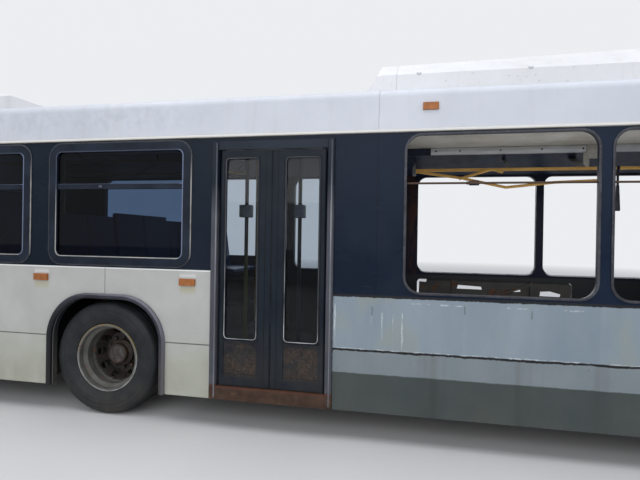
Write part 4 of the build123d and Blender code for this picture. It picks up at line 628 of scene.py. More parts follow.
# Glazing beads
# Snap-in aluminium beads round each pane and along the foot of its vent, and a small latch on the bar. A
# painted highlight on the lower and rear runs fades to dark blue painted shade towards the top, and the fore
# runs carry a bluish painted reflection.
def draw_block(corner, far_corner, edge, steps=2):
    """A block between two opposite corners, every edge rounded by a bevel."""
    bpy.ops.object.select_all(action="DESELECT")
    middle = [(a + b) / 2 for a, b in zip(corner, far_corner)]
    bpy.ops.mesh.primitive_cube_add(size=1, location=middle)
    piece = bpy.context.object
    piece.scale = [abs(b - a) for a, b in zip(corner, far_corner)]
    bpy.ops.object.transform_apply(location=True, rotation=True, scale=True)
    bpy.ops.object.mode_set(mode="EDIT")
    bpy.ops.mesh.select_all(action="SELECT")
    bpy.ops.mesh.bevel(offset=edge, segments=steps, affect="EDGES")
    bpy.ops.object.mode_set(mode="OBJECT")
    return piece


frame_face = flank_y + 0.012
frame_width = 0.074
vent_foot = 2.026
latch_low, latch_high = 1.992, 2.016
latch_share = 0.374
beads = []
latches = []
for side, x0, x1, sill in glazed_windows:
    inset = frame_width - 0.009
    bead = draw_ring(side, (x0 + inset, sill + inset), (x1 - inset, window_head - inset),
                     corner=window_corner - inset, border=0.009, inner_corner=window_corner - frame_width,
                     face=frame_face + 0.003, depth=0.010)
    round_edges(bead, 0.0015)
    beads.append(bead)
    beads.append(draw_block((x0 + frame_width, side * (flank_y - 0.002), vent_foot - 0.003),
                            (x1 - frame_width, side * (flank_y + 0.006), vent_foot + 0.003), 0.0012))
    latch_x = x0 + latch_share * (x1 - x0)
    latches.append(draw_block((latch_x - 0.016, side * (flank_y + 0.001), latch_low),
                              (latch_x + 0.016, side * (flank_y + 0.012), latch_high), 0.004, steps=3))
bead_metal, tree, shader, place = start_finish("bead_metal", Metallic=0.2)
axes = split_axes(tree, place)
# Painted highlight on the lower runs, in patches, fading to dark blue painted shade towards the top.
highlight_patches = ramp(tree, cloud(tree, place, 2.2, 6.0, 0.6), 0.36, 0.58, 0.55, 1.0)
bead_highlight = times(tree, highlight_patches, ramp(tree, axes["Z"], 2.02, 1.75))
base = tint(tree, bead_highlight, (0.030, 0.042, 0.075, 1), (0.40, 0.395, 0.37, 1))
# A bluish painted reflection along the fore run of each pane.
fore_spans = [(x1 - 0.105, x1 - 0.045) for side, x0, x1, sill in glazed_windows]
fore_run_reflection = any_within(tree, axes["X"], fore_spans)
base = tint(tree, times(tree, fore_run_reflection, 0.9), base, (0.12, 0.155, 0.25, 1))
finish_off(tree, shader, base, ramp(tree, cloud(tree, place, 20.0, 5.0), 0.3, 0.7, 0.28, 0.5))
hang_on(join_up(beads), "glazing_beads", bead_metal, "bus_body")
hang_on(join_up(latches), "vent_latches", bead_metal, "bus_body")

# Doorways
# Grey-coated posts and headers round both doors, welded up from folded sheet, with a threshold
# whose paint has rusted off.
portal_coat, tree, shader, place = start_finish("portal_coat", Specular_IOR_Level=0.14)
axes = split_axes(tree, place)
greyed = ramp(tree, cloud(tree, place, 4.0, 7.0, 0.62), 0.35, 0.7)
base = tint(tree, greyed, (0.062, 0.066, 0.080, 1), (0.088, 0.090, 0.106, 1))
blued = ramp(tree, cloud(tree, place, 2.0, 6.0), 0.4, 0.7)
navy = tint(tree, blued, (0.0085, 0.0140, 0.0230, 1), (0.018, 0.025, 0.040, 1))
shaded = work_out(tree, "MULTIPLY_ADD", cloud(tree, place, 3.0, 5.0), 0.20, axes["Z"])
base = tint(tree, ramp(tree, shaded, 1.85, 2.12), base, navy)
scraped = ramp(tree, cloud(tree, place, 9.0, 7.0, 0.65), 0.40, 0.62)
trodden = tint(tree, scraped, (0.048, 0.028, 0.020, 1), (0.078, 0.050, 0.036, 1))
top_lip = ramp(tree, axes["Z"], 0.335, 0.348)
trodden = tint(tree, times(tree, top_lip, 0.6), trodden, (0.105, 0.044, 0.030, 1))
rusted = use_group(tree, rust_bloom, {"Colour": trodden, "Cover": 0.42, "Grain": 9.0}).outputs["Colour"]
sill_line = work_out(tree, "ADD", axes["Z"], times(tree, cloud(tree, place, 18.0, 5.0), 0.03))
base = tint(tree, ramp(tree, sill_line, 0.385, 0.372), base, rusted)
spots = use_group(tree, rust_bloom, {"Colour": base, "Cover": 0.18, "Grain": 14.0})
finish_off(tree, shader, spots.outputs["Colour"], ramp(tree, sill_line, 0.40, 0.35, 0.40, 0.8))
emboss(tree, shader, cloud(tree, place, 45.0, 6.0, 0.7), 0.2, 0.003)
dress(portal_coat, "door_frames")

groove_middles = (-1.717, -1.613, 5.048, 5.152)
kick_spans = [(-2.060, -1.782), (-1.548, -1.268), (4.680, 4.982), (5.218, 5.520)]
leaf_coat, tree, shader, place = start_finish("leaf_coat", Specular_IOR_Level=0.10)
axes = split_axes(tree, place)
dusty = ramp(tree, cloud(tree, place, 3.5, 7.0, 0.62), 0.38, 0.7)
base = tint(tree, dusty, (0.0090, 0.0135, 0.0210, 1), (0.017, 0.023, 0.031, 1))
worn = use_group(tree, scuffs, {"Grain": 11.0, "Cover": 0.34}).outputs["Mask"]
base = tint(tree, times(tree, worn, 0.25), base, (0.14, 0.145, 0.15, 1))
grooves = any_within(tree, axes["X"], [(x - 0.003, x + 0.003) for x in groove_middles], 0.001)
base = tint(tree, times(tree, grooves, 0.9), base, (0.003, 0.004, 0.006, 1))
kicked = any_within(tree, axes["X"], kick_spans, 0.012)
kicked = times(tree, kicked, within(tree, axes["Z"], 0.44, 0.71, 0.02))
kicked = times(tree, kicked, ramp(tree, cloud(tree, place, 7.0, 7.0), 0.30, 0.56))
crumbs = ramp(tree, cloud(tree, place, 55.0, 6.0, 0.7), 0.42, 0.60)
kick_tone = tint(tree, crumbs, (0.022, 0.019, 0.017, 1), (0.060, 0.042, 0.034, 1))
flecks = ramp(tree, cloud(tree, place, 90.0, 2.0, 0.5, (1, 1, 1), (3, 1, 2)), 0.70, 0.74, 0.0, 0.6)
base = tint(tree, kicked, base, tint(tree, flecks, kick_tone, (0.30, 0.29, 0.27, 1)))
soiled = use_group(tree, road_soil, {"Colour": base, "Soil": (0.075, 0.066, 0.055, 1), "Clean Above": 0.9,
                                     "Thick Below": 0.3, "Strength": 0.35})
finish_off(tree, shader, soiled.outputs["Colour"], ramp(tree, soiled.outputs["Mask"], 0.0, 1.0, 0.36, 0.75))
dress(leaf_coat, "rear_door_aft_leaf", "rear_door_fore_leaf", "front_door_aft_leaf", "front_door_fore_leaf")

# Door rubbers
# Each leaf has a moulded rubber that holds its glass with rounded corners, a thin pale filler strip pressed
# into that, a soft seal on its closing edge and a stiff brush along its foot. A dark rubber strip behind
# each hinge closes the slit between leaf and post, standing in for the shade seen through it.
door_leaves = [
    # body, hinge x, closing edge x, glass rear x, glass front x
    ("door_rear_aft", -2.095, -1.670, -2.069, -1.774), ("door_rear_fore", -1.235, -1.660, -1.556, -1.261),
    ("door_front_aft", 4.645, 5.095, 4.671, 4.991), ("door_front_fore", 5.555, 5.105, 5.209, 5.529),
]
filler_strip, tree, shader, place = start_finish("filler_strip", Specular_IOR_Level=0.4)
axes = split_axes(tree, place)
dusty = ramp(tree, cloud(tree, place, 3.0, 6.0, 0.6), 0.38, 0.60)
# Pale towards the foot of each pane, dark higher up and along its fore side.
paler = times(tree, dusty, ramp(tree, axes["Z"], 1.45, 1.0, 0.12, 1.0))
fore_side = any_within(tree, axes["X"], [(leaf[4] - 0.014, leaf[4]) for leaf in door_leaves], 0.002)
fore_side = times(tree, fore_side, ramp(tree, axes["Z"], 0.78, 0.84))
paler = times(tree, paler, ramp(tree, fore_side, 0.0, 1.0, 1.0, 0.3))
finish_off(tree, shader, tint(tree, paler, (0.035, 0.042, 0.052, 1), (0.52, 0.54, 0.54, 1)),
           ramp(tree, dusty, 0.0, 1.0, 0.4, 0.6))
brush_hair, tree, shader, place = start_finish("brush_hair", Specular_IOR_Level=0.1)
hair = ramp(tree, cloud(tree, place, 60.0, 3.0, 0.5, (6, 1, 0.2)), 0.4, 0.6)
finish_off(tree, shader, tint(tree, hair, (0.012, 0.011, 0.010, 1), (0.060, 0.050, 0.038, 1)),
           ramp(tree, hair, 0.0, 1.0, 0.8, 0.95))
emboss(tree, shader, hair, 0.8, 0.002)
door_rubber, tree, shader, place = start_finish("door_rubber", Specular_IOR_Level=0.12)
bloom = ramp(tree, cloud(tree, place, 6.0, 7.0, 0.65), 0.35, 0.70)
finish_off(tree, shader, tint(tree, bloom, (0.006, 0.008, 0.011, 1), (0.018, 0.021, 0.027, 1)),
           ramp(tree, bloom, 0.0, 1.0, 0.40, 0.65))
glass_low, glass_high = 0.737, 2.236
leaf_low, leaf_high = 0.3625, 2.2865
for body, hinge_x, edge_x, glass_x0, glass_x1 in door_leaves:
    rubber = draw_ring(-1, (glass_x0 - 0.007, glass_low - 0.007), (glass_x1 + 0.007, glass_high + 0.007),
                       corner=0.006, border=0.022, inner_corner=0.030, face=flank_y, depth=0.0175)
    round_edges(rubber, 0.003)
    away = 1 if edge_x > hinge_x else -1
    edge_seal = draw_block((edge_x - away * 0.003, -1.2945, leaf_low),
                           (edge_x + away * 0.0042, -1.2550, leaf_high), 0.0025)
    hang_on(join_up([rubber, edge_seal]), body + "_rubbers", door_rubber, body)
    strip = draw_ring(-1, (glass_x0 + 0.006, glass_low + 0.006), (glass_x1 - 0.006, glass_high - 0.006),
                      corner=0.034, border=0.005, inner_corner=0.029, face=flank_y + 0.0018, depth=0.004)
    round_edges(strip, 0.0012)
    hang_on(strip, body + "_filler_strip", filler_strip, body)
    brush = draw_block((hinge_x + away * 0.022, -1.284, 0.3535),
                       (edge_x - away * 0.004, -1.262, 0.364), 0.002)
    hang_on(brush, body + "_brush", brush_hair, body)

# Dark strips behind the hinges, put in as painted shade where the slit between leaf and post would let light
# through.
hinge_shade_strips = []
for body, hinge_x, edge_x, glass_x0, glass_x1 in door_leaves:
    away = 1 if edge_x > hinge_x else -1
    hinge_shade_strips.append(draw_block((hinge_x + away * 0.004, -1.2455, 0.360),
                                     (hinge_x - away * 0.040, -1.2395, 2.290), 0.002))
hang_on(join_up(hinge_shade_strips), "hinge_shade_strips", door_rubber, "bus_body")

# Post strips
# Rolled aluminium strips up the outer corners of both doorways, dulled and dark near the top,
# each held by five screws at even heights.
def draw_bar(start, end, radius, around=14):
    """A round bar between two points, its ends rounded by a bevel."""
    bpy.ops.object.select_all(action="DESELECT")
    start, end = Vector(start), Vector(end)
    bpy.ops.mesh.primitive_cylinder_add(vertices=around, radius=radius, depth=(end - start).length)
    piece = bpy.context.object
    lean = (end - start).to_track_quat("Z", "Y").to_matrix().to_4x4()
    piece.matrix_world = Matrix.Translation((start + end) / 2) @ lean
    bpy.ops.object.transform_apply(location=True, rotation=True, scale=True)
    round_edges(piece, 0.25 * radius)
    return piece


post_middles = (-2.134, -1.170, 4.606, 5.594)
strip_y, strip_low, strip_high = -1.3190, 0.262, 2.352
screw_levels = (0.40, 0.88, 1.36, 1.84, 2.30)
strips = []
for post_x in post_middles:
    strips.append(draw_bar((post_x, strip_y, strip_low), (post_x, strip_y, strip_high), 0.0065))
    for level in screw_levels:
        strips.append(draw_bar((post_x, strip_y - 0.004, level),
                               (post_x, strip_y - 0.008, level), 0.0045, around=10))
strip_metal, tree, shader, place = start_finish("strip_metal", Metallic=0.3)
dulled = ramp(tree, cloud(tree, place, 5.0, 7.0, 0.6, (1, 1, 0.4)), 0.34, 0.66)
base = tint(tree, dulled, (0.22, 0.225, 0.25, 1), (0.12, 0.125, 0.145, 1))
near_top = ramp(tree, split_axes(tree, place)["Z"], 1.75, 2.15)
base = tint(tree, near_top, base, (0.045, 0.050, 0.065, 1))
finish_off(tree, shader, base, ramp(tree, dulled, 0.0, 1.0, 0.34, 0.55))
hang_on(join_up(strips), "post_strips", strip_metal, "bus_body")

# Wheels
# Steel discs in chalky grey paint on the lip, rusted brown inside the dish and on the hub,
# with black road tyres dusted from standing.
rim_coat, tree, shader, place = start_finish("rim_coat", Specular_IOR_Level=0.3)
axes = split_axes(tree, place)
ahead = ahead_of_axle(tree, axes["X"])
above = work_out(tree, "SUBTRACT", axes["Z"], axle_z)
reach = work_out(tree, "ADD", times(tree, ahead, ahead), times(tree, above, above))
reach = work_out(tree, "SQRT", reach)
patches = ramp(tree, cloud(tree, place, 9.0, 6.0), 0.35, 0.65)
lip_paint = tint(tree, patches, (0.078, 0.078, 0.072, 1), (0.135, 0.132, 0.120, 1))
patches = ramp(tree, cloud(tree, place, 14.0, 7.0, 0.7), 0.35, 0.65)
dish = tint(tree, patches, (0.017, 0.016, 0.016, 1), (0.040, 0.031, 0.026, 1))
patches = ramp(tree, cloud(tree, place, 20.0, 7.0, 0.7), 0.35, 0.65)
hub = tint(tree, patches, (0.028, 0.021, 0.018, 1), (0.062, 0.046, 0.038, 1))
ragged = work_out(tree, "MULTIPLY_ADD", cloud(tree, place, 16.0, 6.0), 0.03, reach)
outside_dish = ramp(tree, ragged, 0.250, 0.262)
inside_hub = ramp(tree, ragged, 0.150, 0.138)
base = tint(tree, inside_hub, tint(tree, outside_dish, dish, lip_paint), hub)
settled = ramp(tree, cloud(tree, place, 24.0, 6.0), 0.45, 0.62, 0.0, 0.7)
dusted = times(tree, ramp(tree, reach, 0.075, 0.060), settled)
base = tint(tree, dusted, base, (0.12, 0.12, 0.12, 1))
outer_lip = tint(tree, ramp(tree, axes["Z"], 0.62, 0.48), (0.19, 0.145, 0.075, 1), (0.27, 0.275, 0.27, 1))
on_flange = ramp(tree, ragged, 0.302, 0.308)
base = tint(tree, on_flange, base, outer_lip)
speckled = use_group(tree, rust_bloom, {"Colour": base, "Cover": 0.34, "Grain": 15.0})
finish_off(tree, shader, speckled.outputs["Colour"],
           ramp(tree, speckled.outputs["Mask"], 0.0, 1.0, 0.55, 0.85))
emboss(tree, shader, cloud(tree, place, 70.0, 6.0, 0.7), 0.3, 0.002)
dress(rim_coat, "rear_left_rims", "rear_right_rims", "front_left_rim", "front_right_rim")

tyre_rubber, tree, shader, place = start_finish("tyre_rubber", Specular_IOR_Level=0.2)
patches = ramp(tree, cloud(tree, place, 6.0, 7.0, 0.65), 0.38, 0.7)
base = tint(tree, patches, (0.014, 0.016, 0.019, 1), (0.030, 0.031, 0.033, 1))
soiled = use_group(tree, road_soil, {"Colour": base, "Soil": (0.10, 0.088, 0.070, 1), "Clean Above": 0.42,
                                     "Thick Below": 0.0, "Strength": 0.5})
finish_off(tree, shader, soiled.outputs["Colour"], ramp(tree, soiled.outputs["Mask"], 0.0, 1.0, 0.55, 0.9))
emboss(tree, shader, cloud(tree, place, 90.0, 4.0), 0.2, 0.002)
dress(tyre_rubber, "rear_left_tyres", "rear_right_tyres", "front_left_tyre", "front_right_tyre")

# Tyre treads
# Ribbed road tyres moulded in one piece: four grooves round the tread, a worn shoulder, two thin
# rings and a rim guard on each sidewall. Each is spun about its axle and stands for its solid.
def spin_up(profile, centre, steps):
    """A round form about a line along Y, from (y, radius) points drawn out one after another."""
    bpy.ops.object.select_all(action="DESELECT")
    y, radius = profile[0]
    bpy.ops.mesh.primitive_plane_add(size=0.01, location=(centre[0] + radius, centre[1] + y, centre[2]))
    piece = bpy.context.object
    bpy.ops.object.transform_apply(location=True, rotation=True, scale=True)
    bpy.ops.object.mode_set(mode="EDIT")
    bpy.ops.mesh.select_all(action="SELECT")
    bpy.ops.mesh.merge(type="CENTER")
    for next_y, next_radius in profile[1:]:
        step = (next_radius - radius, next_y - y, 0)
        bpy.ops.mesh.extrude_region_move(TRANSFORM_OT_translate={"value": step})
        y, radius = next_y, next_radius
    bpy.ops.mesh.select_all(action="SELECT")
    bpy.ops.mesh.remove_doubles(threshold=0.00001)
    bpy.ops.mesh.spin(steps=steps, angle=2 * math.pi, center=centre, axis=(0, 1, 0))
    bpy.ops.mesh.select_all(action="SELECT")
    bpy.ops.mesh.remove_doubles(threshold=0.00001)
    bpy.ops.mesh.normals_make_consistent(inside=False)
    bpy.ops.object.mode_set(mode="OBJECT")
    return piece


tread, groove_foot, groove_half = 0.4950, 0.484, 0.005
one_wall = [
    # |y| from the tyre's middle and radius, from the inner casing round the bead to the shoulder
    (0.104, 0.461), (0.130, 0.390), (0.090, 0.286), (0.106, 0.286), (0.106, 0.301), (0.112, 0.309),
    (0.118, 0.306), (0.124, 0.318), (0.137, 0.343), (0.1445, 0.366), (0.1460, 0.368), (0.1478, 0.390),
    (0.1490, 0.393), (0.1490, 0.400), (0.1478, 0.403), (0.1462, 0.428), (0.1470, 0.431), (0.1462, 0.434),
    (0.1430, 0.452), (0.1345, 0.470), (0.1310, 0.4755), (0.1290, 0.4775), (0.1275, 0.4775), (0.1262, 0.4800),
    (0.1110, 0.4900), (0.1070, 0.4915),
]
crown = []
for middle in (0.078, 0.027):
    crown += [(middle + groove_half, tread - 0.0010), (middle + 0.6 * groove_half, groove_foot),
              (middle - 0.6 * groove_half, groove_foot), (middle - groove_half, tread - 0.0006)]
half_round = one_wall + crown
tyre_profile = half_round + [(-y, radius) for y, radius in reversed(half_round)]
tyre_profile.append(tyre_profile[0])
tyre_places = [
    # node, body, axle x, |y| of each tyre, side
    ("rear_right_tyres", "wheels_rear_right", rear_axle_x, (1.115, 0.780), -1),
    ("rear_left_tyres", "wheels_rear_left", rear_axle_x, (1.115, 0.780), 1),
    ("front_right_tyre", "wheel_front_right", front_axle_x, (1.090,), -1),
    ("front_left_tyre", "wheel_front_left", front_axle_x, (1.090,), 1),
]
first_tyre = spin_up(tyre_profile, (0.0, 0.0, axle_z), steps=84)
for node, body, axle_x, places, side in tyre_places:
    tyres = []
    for y in places:
        tyre = first_tyre.copy()
        tyre.data = first_tyre.data.copy()
        bpy.context.scene.collection.objects.link(tyre)
        tyre.data.transform(Matrix.Translation((axle_x, side * y, 0)))
        tyres.append(tyre)
    hang_on(join_up(tyres), node.replace("tyre", "road_tyre"), tyre_rubber, body, angle=0.45)
    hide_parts(node)
bpy.data.objects.remove(first_tyre, do_unlink=True)

# Chassis
# Welded steel tubes and rails in black paint, galvanised hangers, cast axles and knuckles, and
# a grey iron engine, all under rust and soil.
chassis_finishes = [
    # finish, clean colour, second colour, rust cover, nodes
    ("frame_tube", (0.030, 0.029, 0.028, 1), (0.060, 0.055, 0.050, 1), 0.45,
     ["underframe", "cross_members", "tow_eyes", "side_frame", "wheel_housings"]),
    ("galvanised", (0.15, 0.155, 0.16, 1), (0.20, 0.205, 0.21, 1), 0.12, ["rail_hangers"]),
    ("cast_iron", (0.075, 0.062, 0.052, 1), (0.13, 0.10, 0.075, 1), 0.62,
     ["front_axle", "rear_axle", "drive_shaft", "steering_knuckle_left", "steering_knuckle_right"]),
    ("engine_iron", (0.10, 0.10, 0.098, 1), (0.16, 0.155, 0.145, 1), 0.30, ["engine_block"]),
]
for name, clean, paler, cover, names in chassis_finishes:
    metal, tree, shader, place = start_finish(name, Specular_IOR_Level=0.5)
    base = tint(tree, ramp(tree, cloud(tree, place, 5.0, 7.0, 0.65), 0.35, 0.7), clean, paler)
    rusty = use_group(tree, rust_bloom, {"Colour": base, "Cover": cover, "Grain": 8.0})
    finish_off(tree, shader, rusty.outputs["Colour"], ramp(tree, rusty.outputs["Mask"], 0.0, 1.0, 0.5, 0.9))
    emboss(tree, shader, cloud(tree, place, 60.0, 6.0, 0.7), 0.3, 0.003)
    dress(metal, *names)

# Shade walls
# Thin black rubber sheets ahead of and behind the rear wheels, hung inside the ends of their housings:
# painted shade that closes the housings, so that no light shows through them.
sheet_reach, sheet_half = 0.600, 0.0035
sheet_low, sheet_high = 0.275, 0.960
housing_shade_sheets = []
for side in (-1, 1):
    for sheet_x in (rear_axle_x - sheet_reach, rear_axle_x + sheet_reach):
        housing_shade_sheets.append(draw_block((sheet_x - sheet_half, side * 0.600, sheet_low),
                                        (sheet_x + sheet_half, side * 1.240, sheet_high), 0.002))
shade_sheet_rubber, tree, shader, place = start_finish("shade_sheet_rubber", Specular_IOR_Level=0.2)
bloom = ramp(tree, cloud(tree, place, 5.0, 7.0, 0.65), 0.35, 0.70)
base = tint(tree, bloom, (0.012, 0.012, 0.013, 1), (0.028, 0.027, 0.027, 1))
soiled = use_group(tree, road_soil, {"Colour": base, "Soil": (0.10, 0.088, 0.070, 1), "Clean Above": 0.6,
                                     "Strength": 0.5})
finish_off(tree, shader, soiled.outputs["Colour"], ramp(tree, soiled.outputs["Mask"], 0.0, 1.0, 0.6, 0.9))
hang_on(join_up(housing_shade_sheets), "housing_shade_walls", shade_sheet_rubber, "bus_body")

# Cabin
# Worn dark floor sheet, blue moulded seats, stained cream ceiling, dark ducts, bare metal
# light covers and yellow powder-coated rails.
cabin_finishes = [
    # finish, first colour, second colour, grain, roughness, bump, nodes
    ("floor_sheet", (0.060, 0.058, 0.056, 1), (0.13, 0.12, 0.105, 1), 4.0, 0.7, 0.2, ["floor"]),
    ("seat_moulding", (0.016, 0.045, 0.170, 1), (0.024, 0.060, 0.215, 1), 6.0, 0.42, 0.1,
     ["passenger_seats"]),
    ("ceiling_sheet", (0.84, 0.82, 0.76, 1), (0.60, 0.57, 0.48, 1), 2.2, 0.5, 0.1, ["ceiling_panels"]),
    ("duct_skin", (0.014, 0.021, 0.044, 1), (0.030, 0.042, 0.070, 1), 3.0, 0.42, 0.1, ["side_ducts"]),
    ("station_moulding", (0.026, 0.027, 0.030, 1), (0.055, 0.055, 0.057, 1), 5.0, 0.55, 0.2,
     ["driver_station"]),
]
for name, first, second, grain_size, rough, depth, names in cabin_finishes:
    surface, tree, shader, place = start_finish(name, Specular_IOR_Level=0.25)
    base = tint(tree, ramp(tree, cloud(tree, place, grain_size, 8.0, 0.66), 0.36, 0.68), first, second)
    marks = use_group(tree, scuffs, {"Grain": 12.0, "Cover": 0.3}).outputs["Mask"]
    base = tint(tree, times(tree, marks, 0.4), base, (0.09, 0.085, 0.075, 1))
    finish_off(tree, shader, base,
               ramp(tree, cloud(tree, place, 9.0, 5.0), 0.3, 0.7, rough - 0.08, rough + 0.1))
    emboss(tree, shader, cloud(tree, place, 80.0, 4.0), depth, 0.002)
    dress(surface, *names)

rail_coat, tree, shader, place = start_finish("rail_coat", Specular_IOR_Level=0.3)
axes = split_axes(tree, place)
patches = ramp(tree, cloud(tree, place, 7.0, 8.0, 0.66), 0.36, 0.68)
base = tint(tree, patches, (0.95, 0.56, 0.160, 1), (0.74, 0.44, 0.130, 1))
# Painted shade beside the rear door: the rear stanchion is painted olive low down and near-black higher up,
# and the fore one near-black.
beside_door = times(tree, ramp(tree, axes["Y"], -0.84, -0.86), within(tree, axes["X"], -2.10, -1.45))
pole_shade = times(tree, beside_door, ramp(tree, axes["X"], -1.75, -1.80))
base = tint(tree, pole_shade, base, (0.24, 0.21, 0.06, 1))
greyed = work_out(tree, "MAXIMUM", ramp(tree, axes["Z"], 1.40, 1.50), ramp(tree, axes["X"], -1.80, -1.75))
base = tint(tree, times(tree, beside_door, greyed), base, (0.050, 0.050, 0.052, 1))
by_window = ramp(tree, axes["Y"], -1.24, -1.25)
base = tint(tree, by_window, base, (0.34, 0.19, 0.080, 1))
finish_off(tree, shader, base, ramp(tree, cloud(tree, place, 9.0, 5.0), 0.3, 0.7, 0.30, 0.48))
dress(rail_coat, "grab_rails")

bare_metal, tree, shader, place = start_finish("bare_metal", Metallic=0.2)
brushed = ramp(tree, cloud(tree, place, 3.0, 7.0, 0.6, (1, 6, 6)), 0.35, 0.7)
base = tint(tree, brushed, (0.76, 0.78, 0.82, 1), (0.58, 0.60, 0.63, 1))
finish_off(tree, shader, base, ramp(tree, cloud(tree, place, 14.0, 6.0), 0.3, 0.7, 0.3, 0.48))
dress(bare_metal, "light_rails")

# Cabin fittings
# Small things screwed on inside: a grey button box on each door stanchion, screws and a cream end
# bracket on the light covers, the one hand grip that is left, and the small motor on the rest bar.
box_places = [
    # rear x, front x, low z, high z
    (-2.083, -1.977, 1.759, 1.871), (-1.577, -1.486, 1.757, 1.872),
]
boxes = []
for x0, x1, z0, z1 in box_places:
    boxes.append(draw_block((x0, -0.945, z0), (x1, -0.855, z1), 0.010, steps=3))
    middle = (x0 + x1) / 2
    boxes.append(draw_block((middle - 0.020, -0.952, z0 + 0.030),
                            (middle + 0.020, -0.943, z0 + 0.070), 0.004, steps=3))
box_plastic, tree, shader, place = start_finish("box_plastic", Specular_IOR_Level=0.4)
scratched = use_group(tree, scuffs, {"Grain": 14.0, "Cover": 0.4}).outputs["Mask"]
paler = ramp(tree, cloud(tree, place, 8.0, 5.0), 0.4, 0.7)
base = tint(tree, paler, (0.27, 0.285, 0.31, 1), (0.36, 0.375, 0.40, 1))
finish_off(tree, shader, tint(tree, scratched, base, (0.32, 0.32, 0.33, 1)),
           ramp(tree, cloud(tree, place, 30.0, 4.0), 0.3, 0.7, 0.4, 0.55))
hang_on(join_up(boxes), "stanchion_boxes", box_plastic, "bus_body")

screw_middles = (-0.360, -0.094, 0.342, 0.773, 1.190)
screw_z = 2.600
screws = [draw_bar((x, 0.7255, screw_z), (x, 0.7195, screw_z), 0.0100, around=12) for x in screw_middles]
hang_on(join_up(screws), "light_rail_screws", frame_coat, "bus_body")

bracket = join_up([draw_block((1.222, 0.708, 2.490), (1.330, 0.7405, 2.640), 0.006, steps=3),
                   draw_block((1.190, 0.706, 2.390), (1.250, 0.7385, 2.560), 0.012, steps=3)])
cream_coat, tree, shader, place = start_finish("cream_coat", Specular_IOR_Level=0.35)
stained = ramp(tree, cloud(tree, place, 12.0, 7.0, 0.65), 0.36, 0.68)
finish_off(tree, shader, tint(tree, stained, (0.56, 0.56, 0.53, 1), (0.40, 0.37, 0.31, 1)),
           ramp(tree, stained, 0.0, 1.0, 0.4, 0.6))
hang_on(bracket, "light_rail_bracket", cream_coat, "bus_body")

strap_x, strap_y = 1.4575, 0.500
handle_low, handle_high = 1.911, 2.178
handle_middle = (handle_low + handle_high) / 2
grip_body = draw_block((strap_x - 0.0265, strap_y - 0.015, handle_low),
                       (strap_x + 0.0265, strap_y + 0.015, handle_high), 0.010, steps=3)
for corner in grip_body.data.vertices:
    corner.select = corner.co.z > handle_middle
for edge in grip_body.data.edges:
    edge.select = all(grip_body.data.vertices[index].select for index in edge.vertices)
for side_face in grip_body.data.polygons:
    side_face.select = all(grip_body.data.vertices[index].select for index in side_face.vertices)
bpy.ops.object.mode_set(mode="EDIT")
bpy.ops.transform.resize(value=(0.55, 0.75, 1.0), center_override=(strap_x, strap_y, handle_high))
bpy.ops.object.mode_set(mode="OBJECT")
grip_strap = draw_block((strap_x - 0.012, strap_y - 0.0035, 2.165),
                        (strap_x + 0.012, strap_y + 0.0035, 2.338), 0.002)
grip_clamp = draw_block((strap_x - 0.0165, strap_y - 0.023, 2.3290),
                        (strap_x + 0.0165, strap_y + 0.023, 2.3755), 0.010, steps=3)
hang_on(join_up([grip_body, grip_strap, grip_clamp]), "hand_grip", seal_rubber, "bus_body")

rest_bar_y, rest_bar_z = -1.2650, 2.013
motor_case = draw_bar((-0.135, rest_bar_y, rest_bar_z),
                      (-0.062, rest_bar_y, rest_bar_z), 0.019, around=20)
motor_end = draw_bar((-0.155, rest_bar_y, rest_bar_z),
                     (-0.130, rest_bar_y, rest_bar_z), 0.012, around=16)
hang_on(join_up([motor_case, motor_end]), "vent_motor", frame_coat, "bus_body")

# Lamps
# Moulded plastic lenses on the side markers, tail lamps and headlamps: amber with ribs along the
# bus, and red and clear ones with upright ribs.
lenses = [
    # finish, colour, transmission, direction across the ribs, their pitch, nodes
    ("amber_lens", (0.42, 0.125, 0.012), 0.0, (0, 0, 1), 1040.0, ["side_markers"]),
    ("red_lens", (0.38, 0.016, 0.012), 0.15, (1, 1, 0), 800.0, ["tail_lamps"]),
    ("clear_lens", (0.70, 0.74, 0.76), 0.55, (1, 1, 0), 600.0, ["headlamps"]),
]
for name, tone, through, rib_way, pitch, names in lenses:
    lens, tree, shader, place = start_finish(name, Transmission_Weight=through, Roughness=0.28, IOR=1.49)
    across = lay_node(tree, "VectorMath", {0: place, 1: rib_way}, operation="DOT_PRODUCT").outputs["Value"]
    ribs = work_out(tree, "SINE", times(tree, across, pitch))
    plain, deeper, rib_groove_shade = [tuple(share * part for part in tone) + (1,) for share in (1.0, 0.6, 0.35)]
    base = tint(tree, ramp(tree, cloud(tree, place, 30.0, 4.0), 0.35, 0.7), plain, deeper)
    # The rib grooves are darkened as painted shade.
    base = tint(tree, ramp(tree, ribs, 0.0, -1.0, 0.0, 0.55), base, rib_groove_shade)
    tree.links.new(base, shader.inputs["Base Color"])
    emboss(tree, shader, ribs, 0.4, 0.0015)
    dress(lens, *names)

# Outer fittings
# Wipers parked low on the windscreen, silvered glass in the mirror heads, lift handles on the
# engine door and the roof hatch, and dome bolts along the foot of the long roof cover.
def front_of(node, y, z):
    """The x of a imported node's front face at one y and z, read by a ray from ahead of the bus."""
    struck, place, _, _ = nodes[node].ray_cast(Vector((9.0, y, z)), Vector((-1.0, 0.0, 0.0)))
    return place.x if struck else None


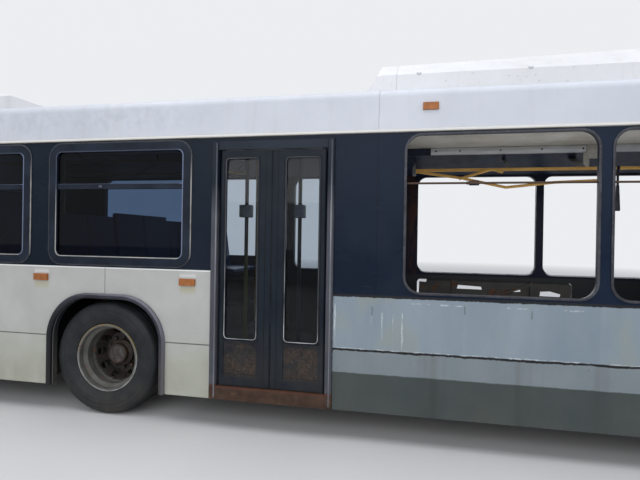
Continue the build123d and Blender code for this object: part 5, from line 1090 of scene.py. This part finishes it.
pivot_z, tip_z = 1.095, 1.235
blade_length = 0.44
blade_gap, arm_gap = 0.008, 0.020
wipers = []
for pivot_y, tip_y in ((0.62, 0.08), (-0.30, -0.84)):
    pivot_x = front_of("front_cap", pivot_y, pivot_z)
    arm_y = tip_y + blade_length / 2
    arm_end = (front_of("windscreen_panes", arm_y, tip_z) + arm_gap, arm_y, tip_z)
    wipers.append(draw_bar((pivot_x - 0.012, pivot_y, pivot_z),
                           (pivot_x + 0.026, pivot_y, pivot_z), 0.018, around=16))
    wipers.append(draw_bar((pivot_x + 0.018, pivot_y, pivot_z), arm_end, 0.007, around=10))
    blade_ends = [(front_of("windscreen_panes", y, tip_z) + blade_gap, y, tip_z)
                  for y in (tip_y, tip_y + blade_length)]
    wipers.append(draw_bar(*blade_ends, 0.006, around=8))
hang_on(join_up(wipers), "wipers", frame_coat, "bus_body")

mirror_back_x, mirror_face_x = 5.9310, 5.9260
mirror_glasses = []
for side in (-1, 1):
    for low_z, high_z in ((1.666, 1.900), (1.915, 2.044)):
        mirror_glasses.append(draw_block((mirror_face_x, side * 1.312, low_z),
                                         (mirror_back_x, side * 1.478, high_z), 0.002))
mirror_silver, tree, shader, place = start_finish("mirror_silver", Metallic=1.0)
filmed = ramp(tree, cloud(tree, place, 18.0, 6.0), 0.4, 0.7)
silver = tint(tree, filmed, (0.70, 0.73, 0.76, 1), (0.52, 0.53, 0.53, 1))
finish_off(tree, shader, silver, ramp(tree, filmed, 0.0, 1.0, 0.04, 0.22))
hang_on(join_up(mirror_glasses), "mirror_glasses", mirror_silver, "bus_body")

door_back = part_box("engine_door")[0][0]
grip_z = 0.700
grip_x = door_back - 0.026
handles = []
for middle in (-0.62, 0.62):
    for foot_y in (middle - 0.060, middle + 0.060):
        handles.append(draw_bar((door_back + 0.020, foot_y, grip_z), (grip_x, foot_y, grip_z), 0.007))
    handles.append(draw_bar((grip_x, middle - 0.066, grip_z), (grip_x, middle + 0.066, grip_z), 0.008))
hang_on(join_up(handles), "engine_door_handles", frame_coat, "engine_lid")

lid_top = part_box("roof_hatch")[1][2]
lid_grip_x = -2.46
lid_grip_z = lid_top + 0.030
lid_grip = [draw_bar((lid_grip_x, foot_y, lid_top - 0.006), (lid_grip_x, foot_y, lid_grip_z), 0.007)
            for foot_y in (-0.060, 0.060)]
lid_grip.append(draw_bar((lid_grip_x, -0.066, lid_grip_z), (lid_grip_x, 0.066, lid_grip_z), 0.008))
hang_on(join_up(lid_grip), "roof_hatch_handle", frame_coat, "hatch_lid")

dome_z = 2.883
first_dome_x, dome_pitch, dome_count = -0.518, 0.818, 7
domes = []
for side in (-1, 1):
    for turn in range(dome_count):
        outside = Vector((first_dome_x + dome_pitch * turn, side * 3.0, dome_z))
        struck, place, out, _ = nodes["roof_pod"].ray_cast(outside, Vector((0.0, -side, 0.0)))
        if struck:
            dome = draw_bar(place - 0.006 * out, place + 0.013 * out, 0.019, around=18)
            round_edges(dome, 0.009, steps=3, angle=1.2)
            domes.append(dome)
hang_on(join_up(domes), "roof_dome_bolts", gel_coat, "bus_body")
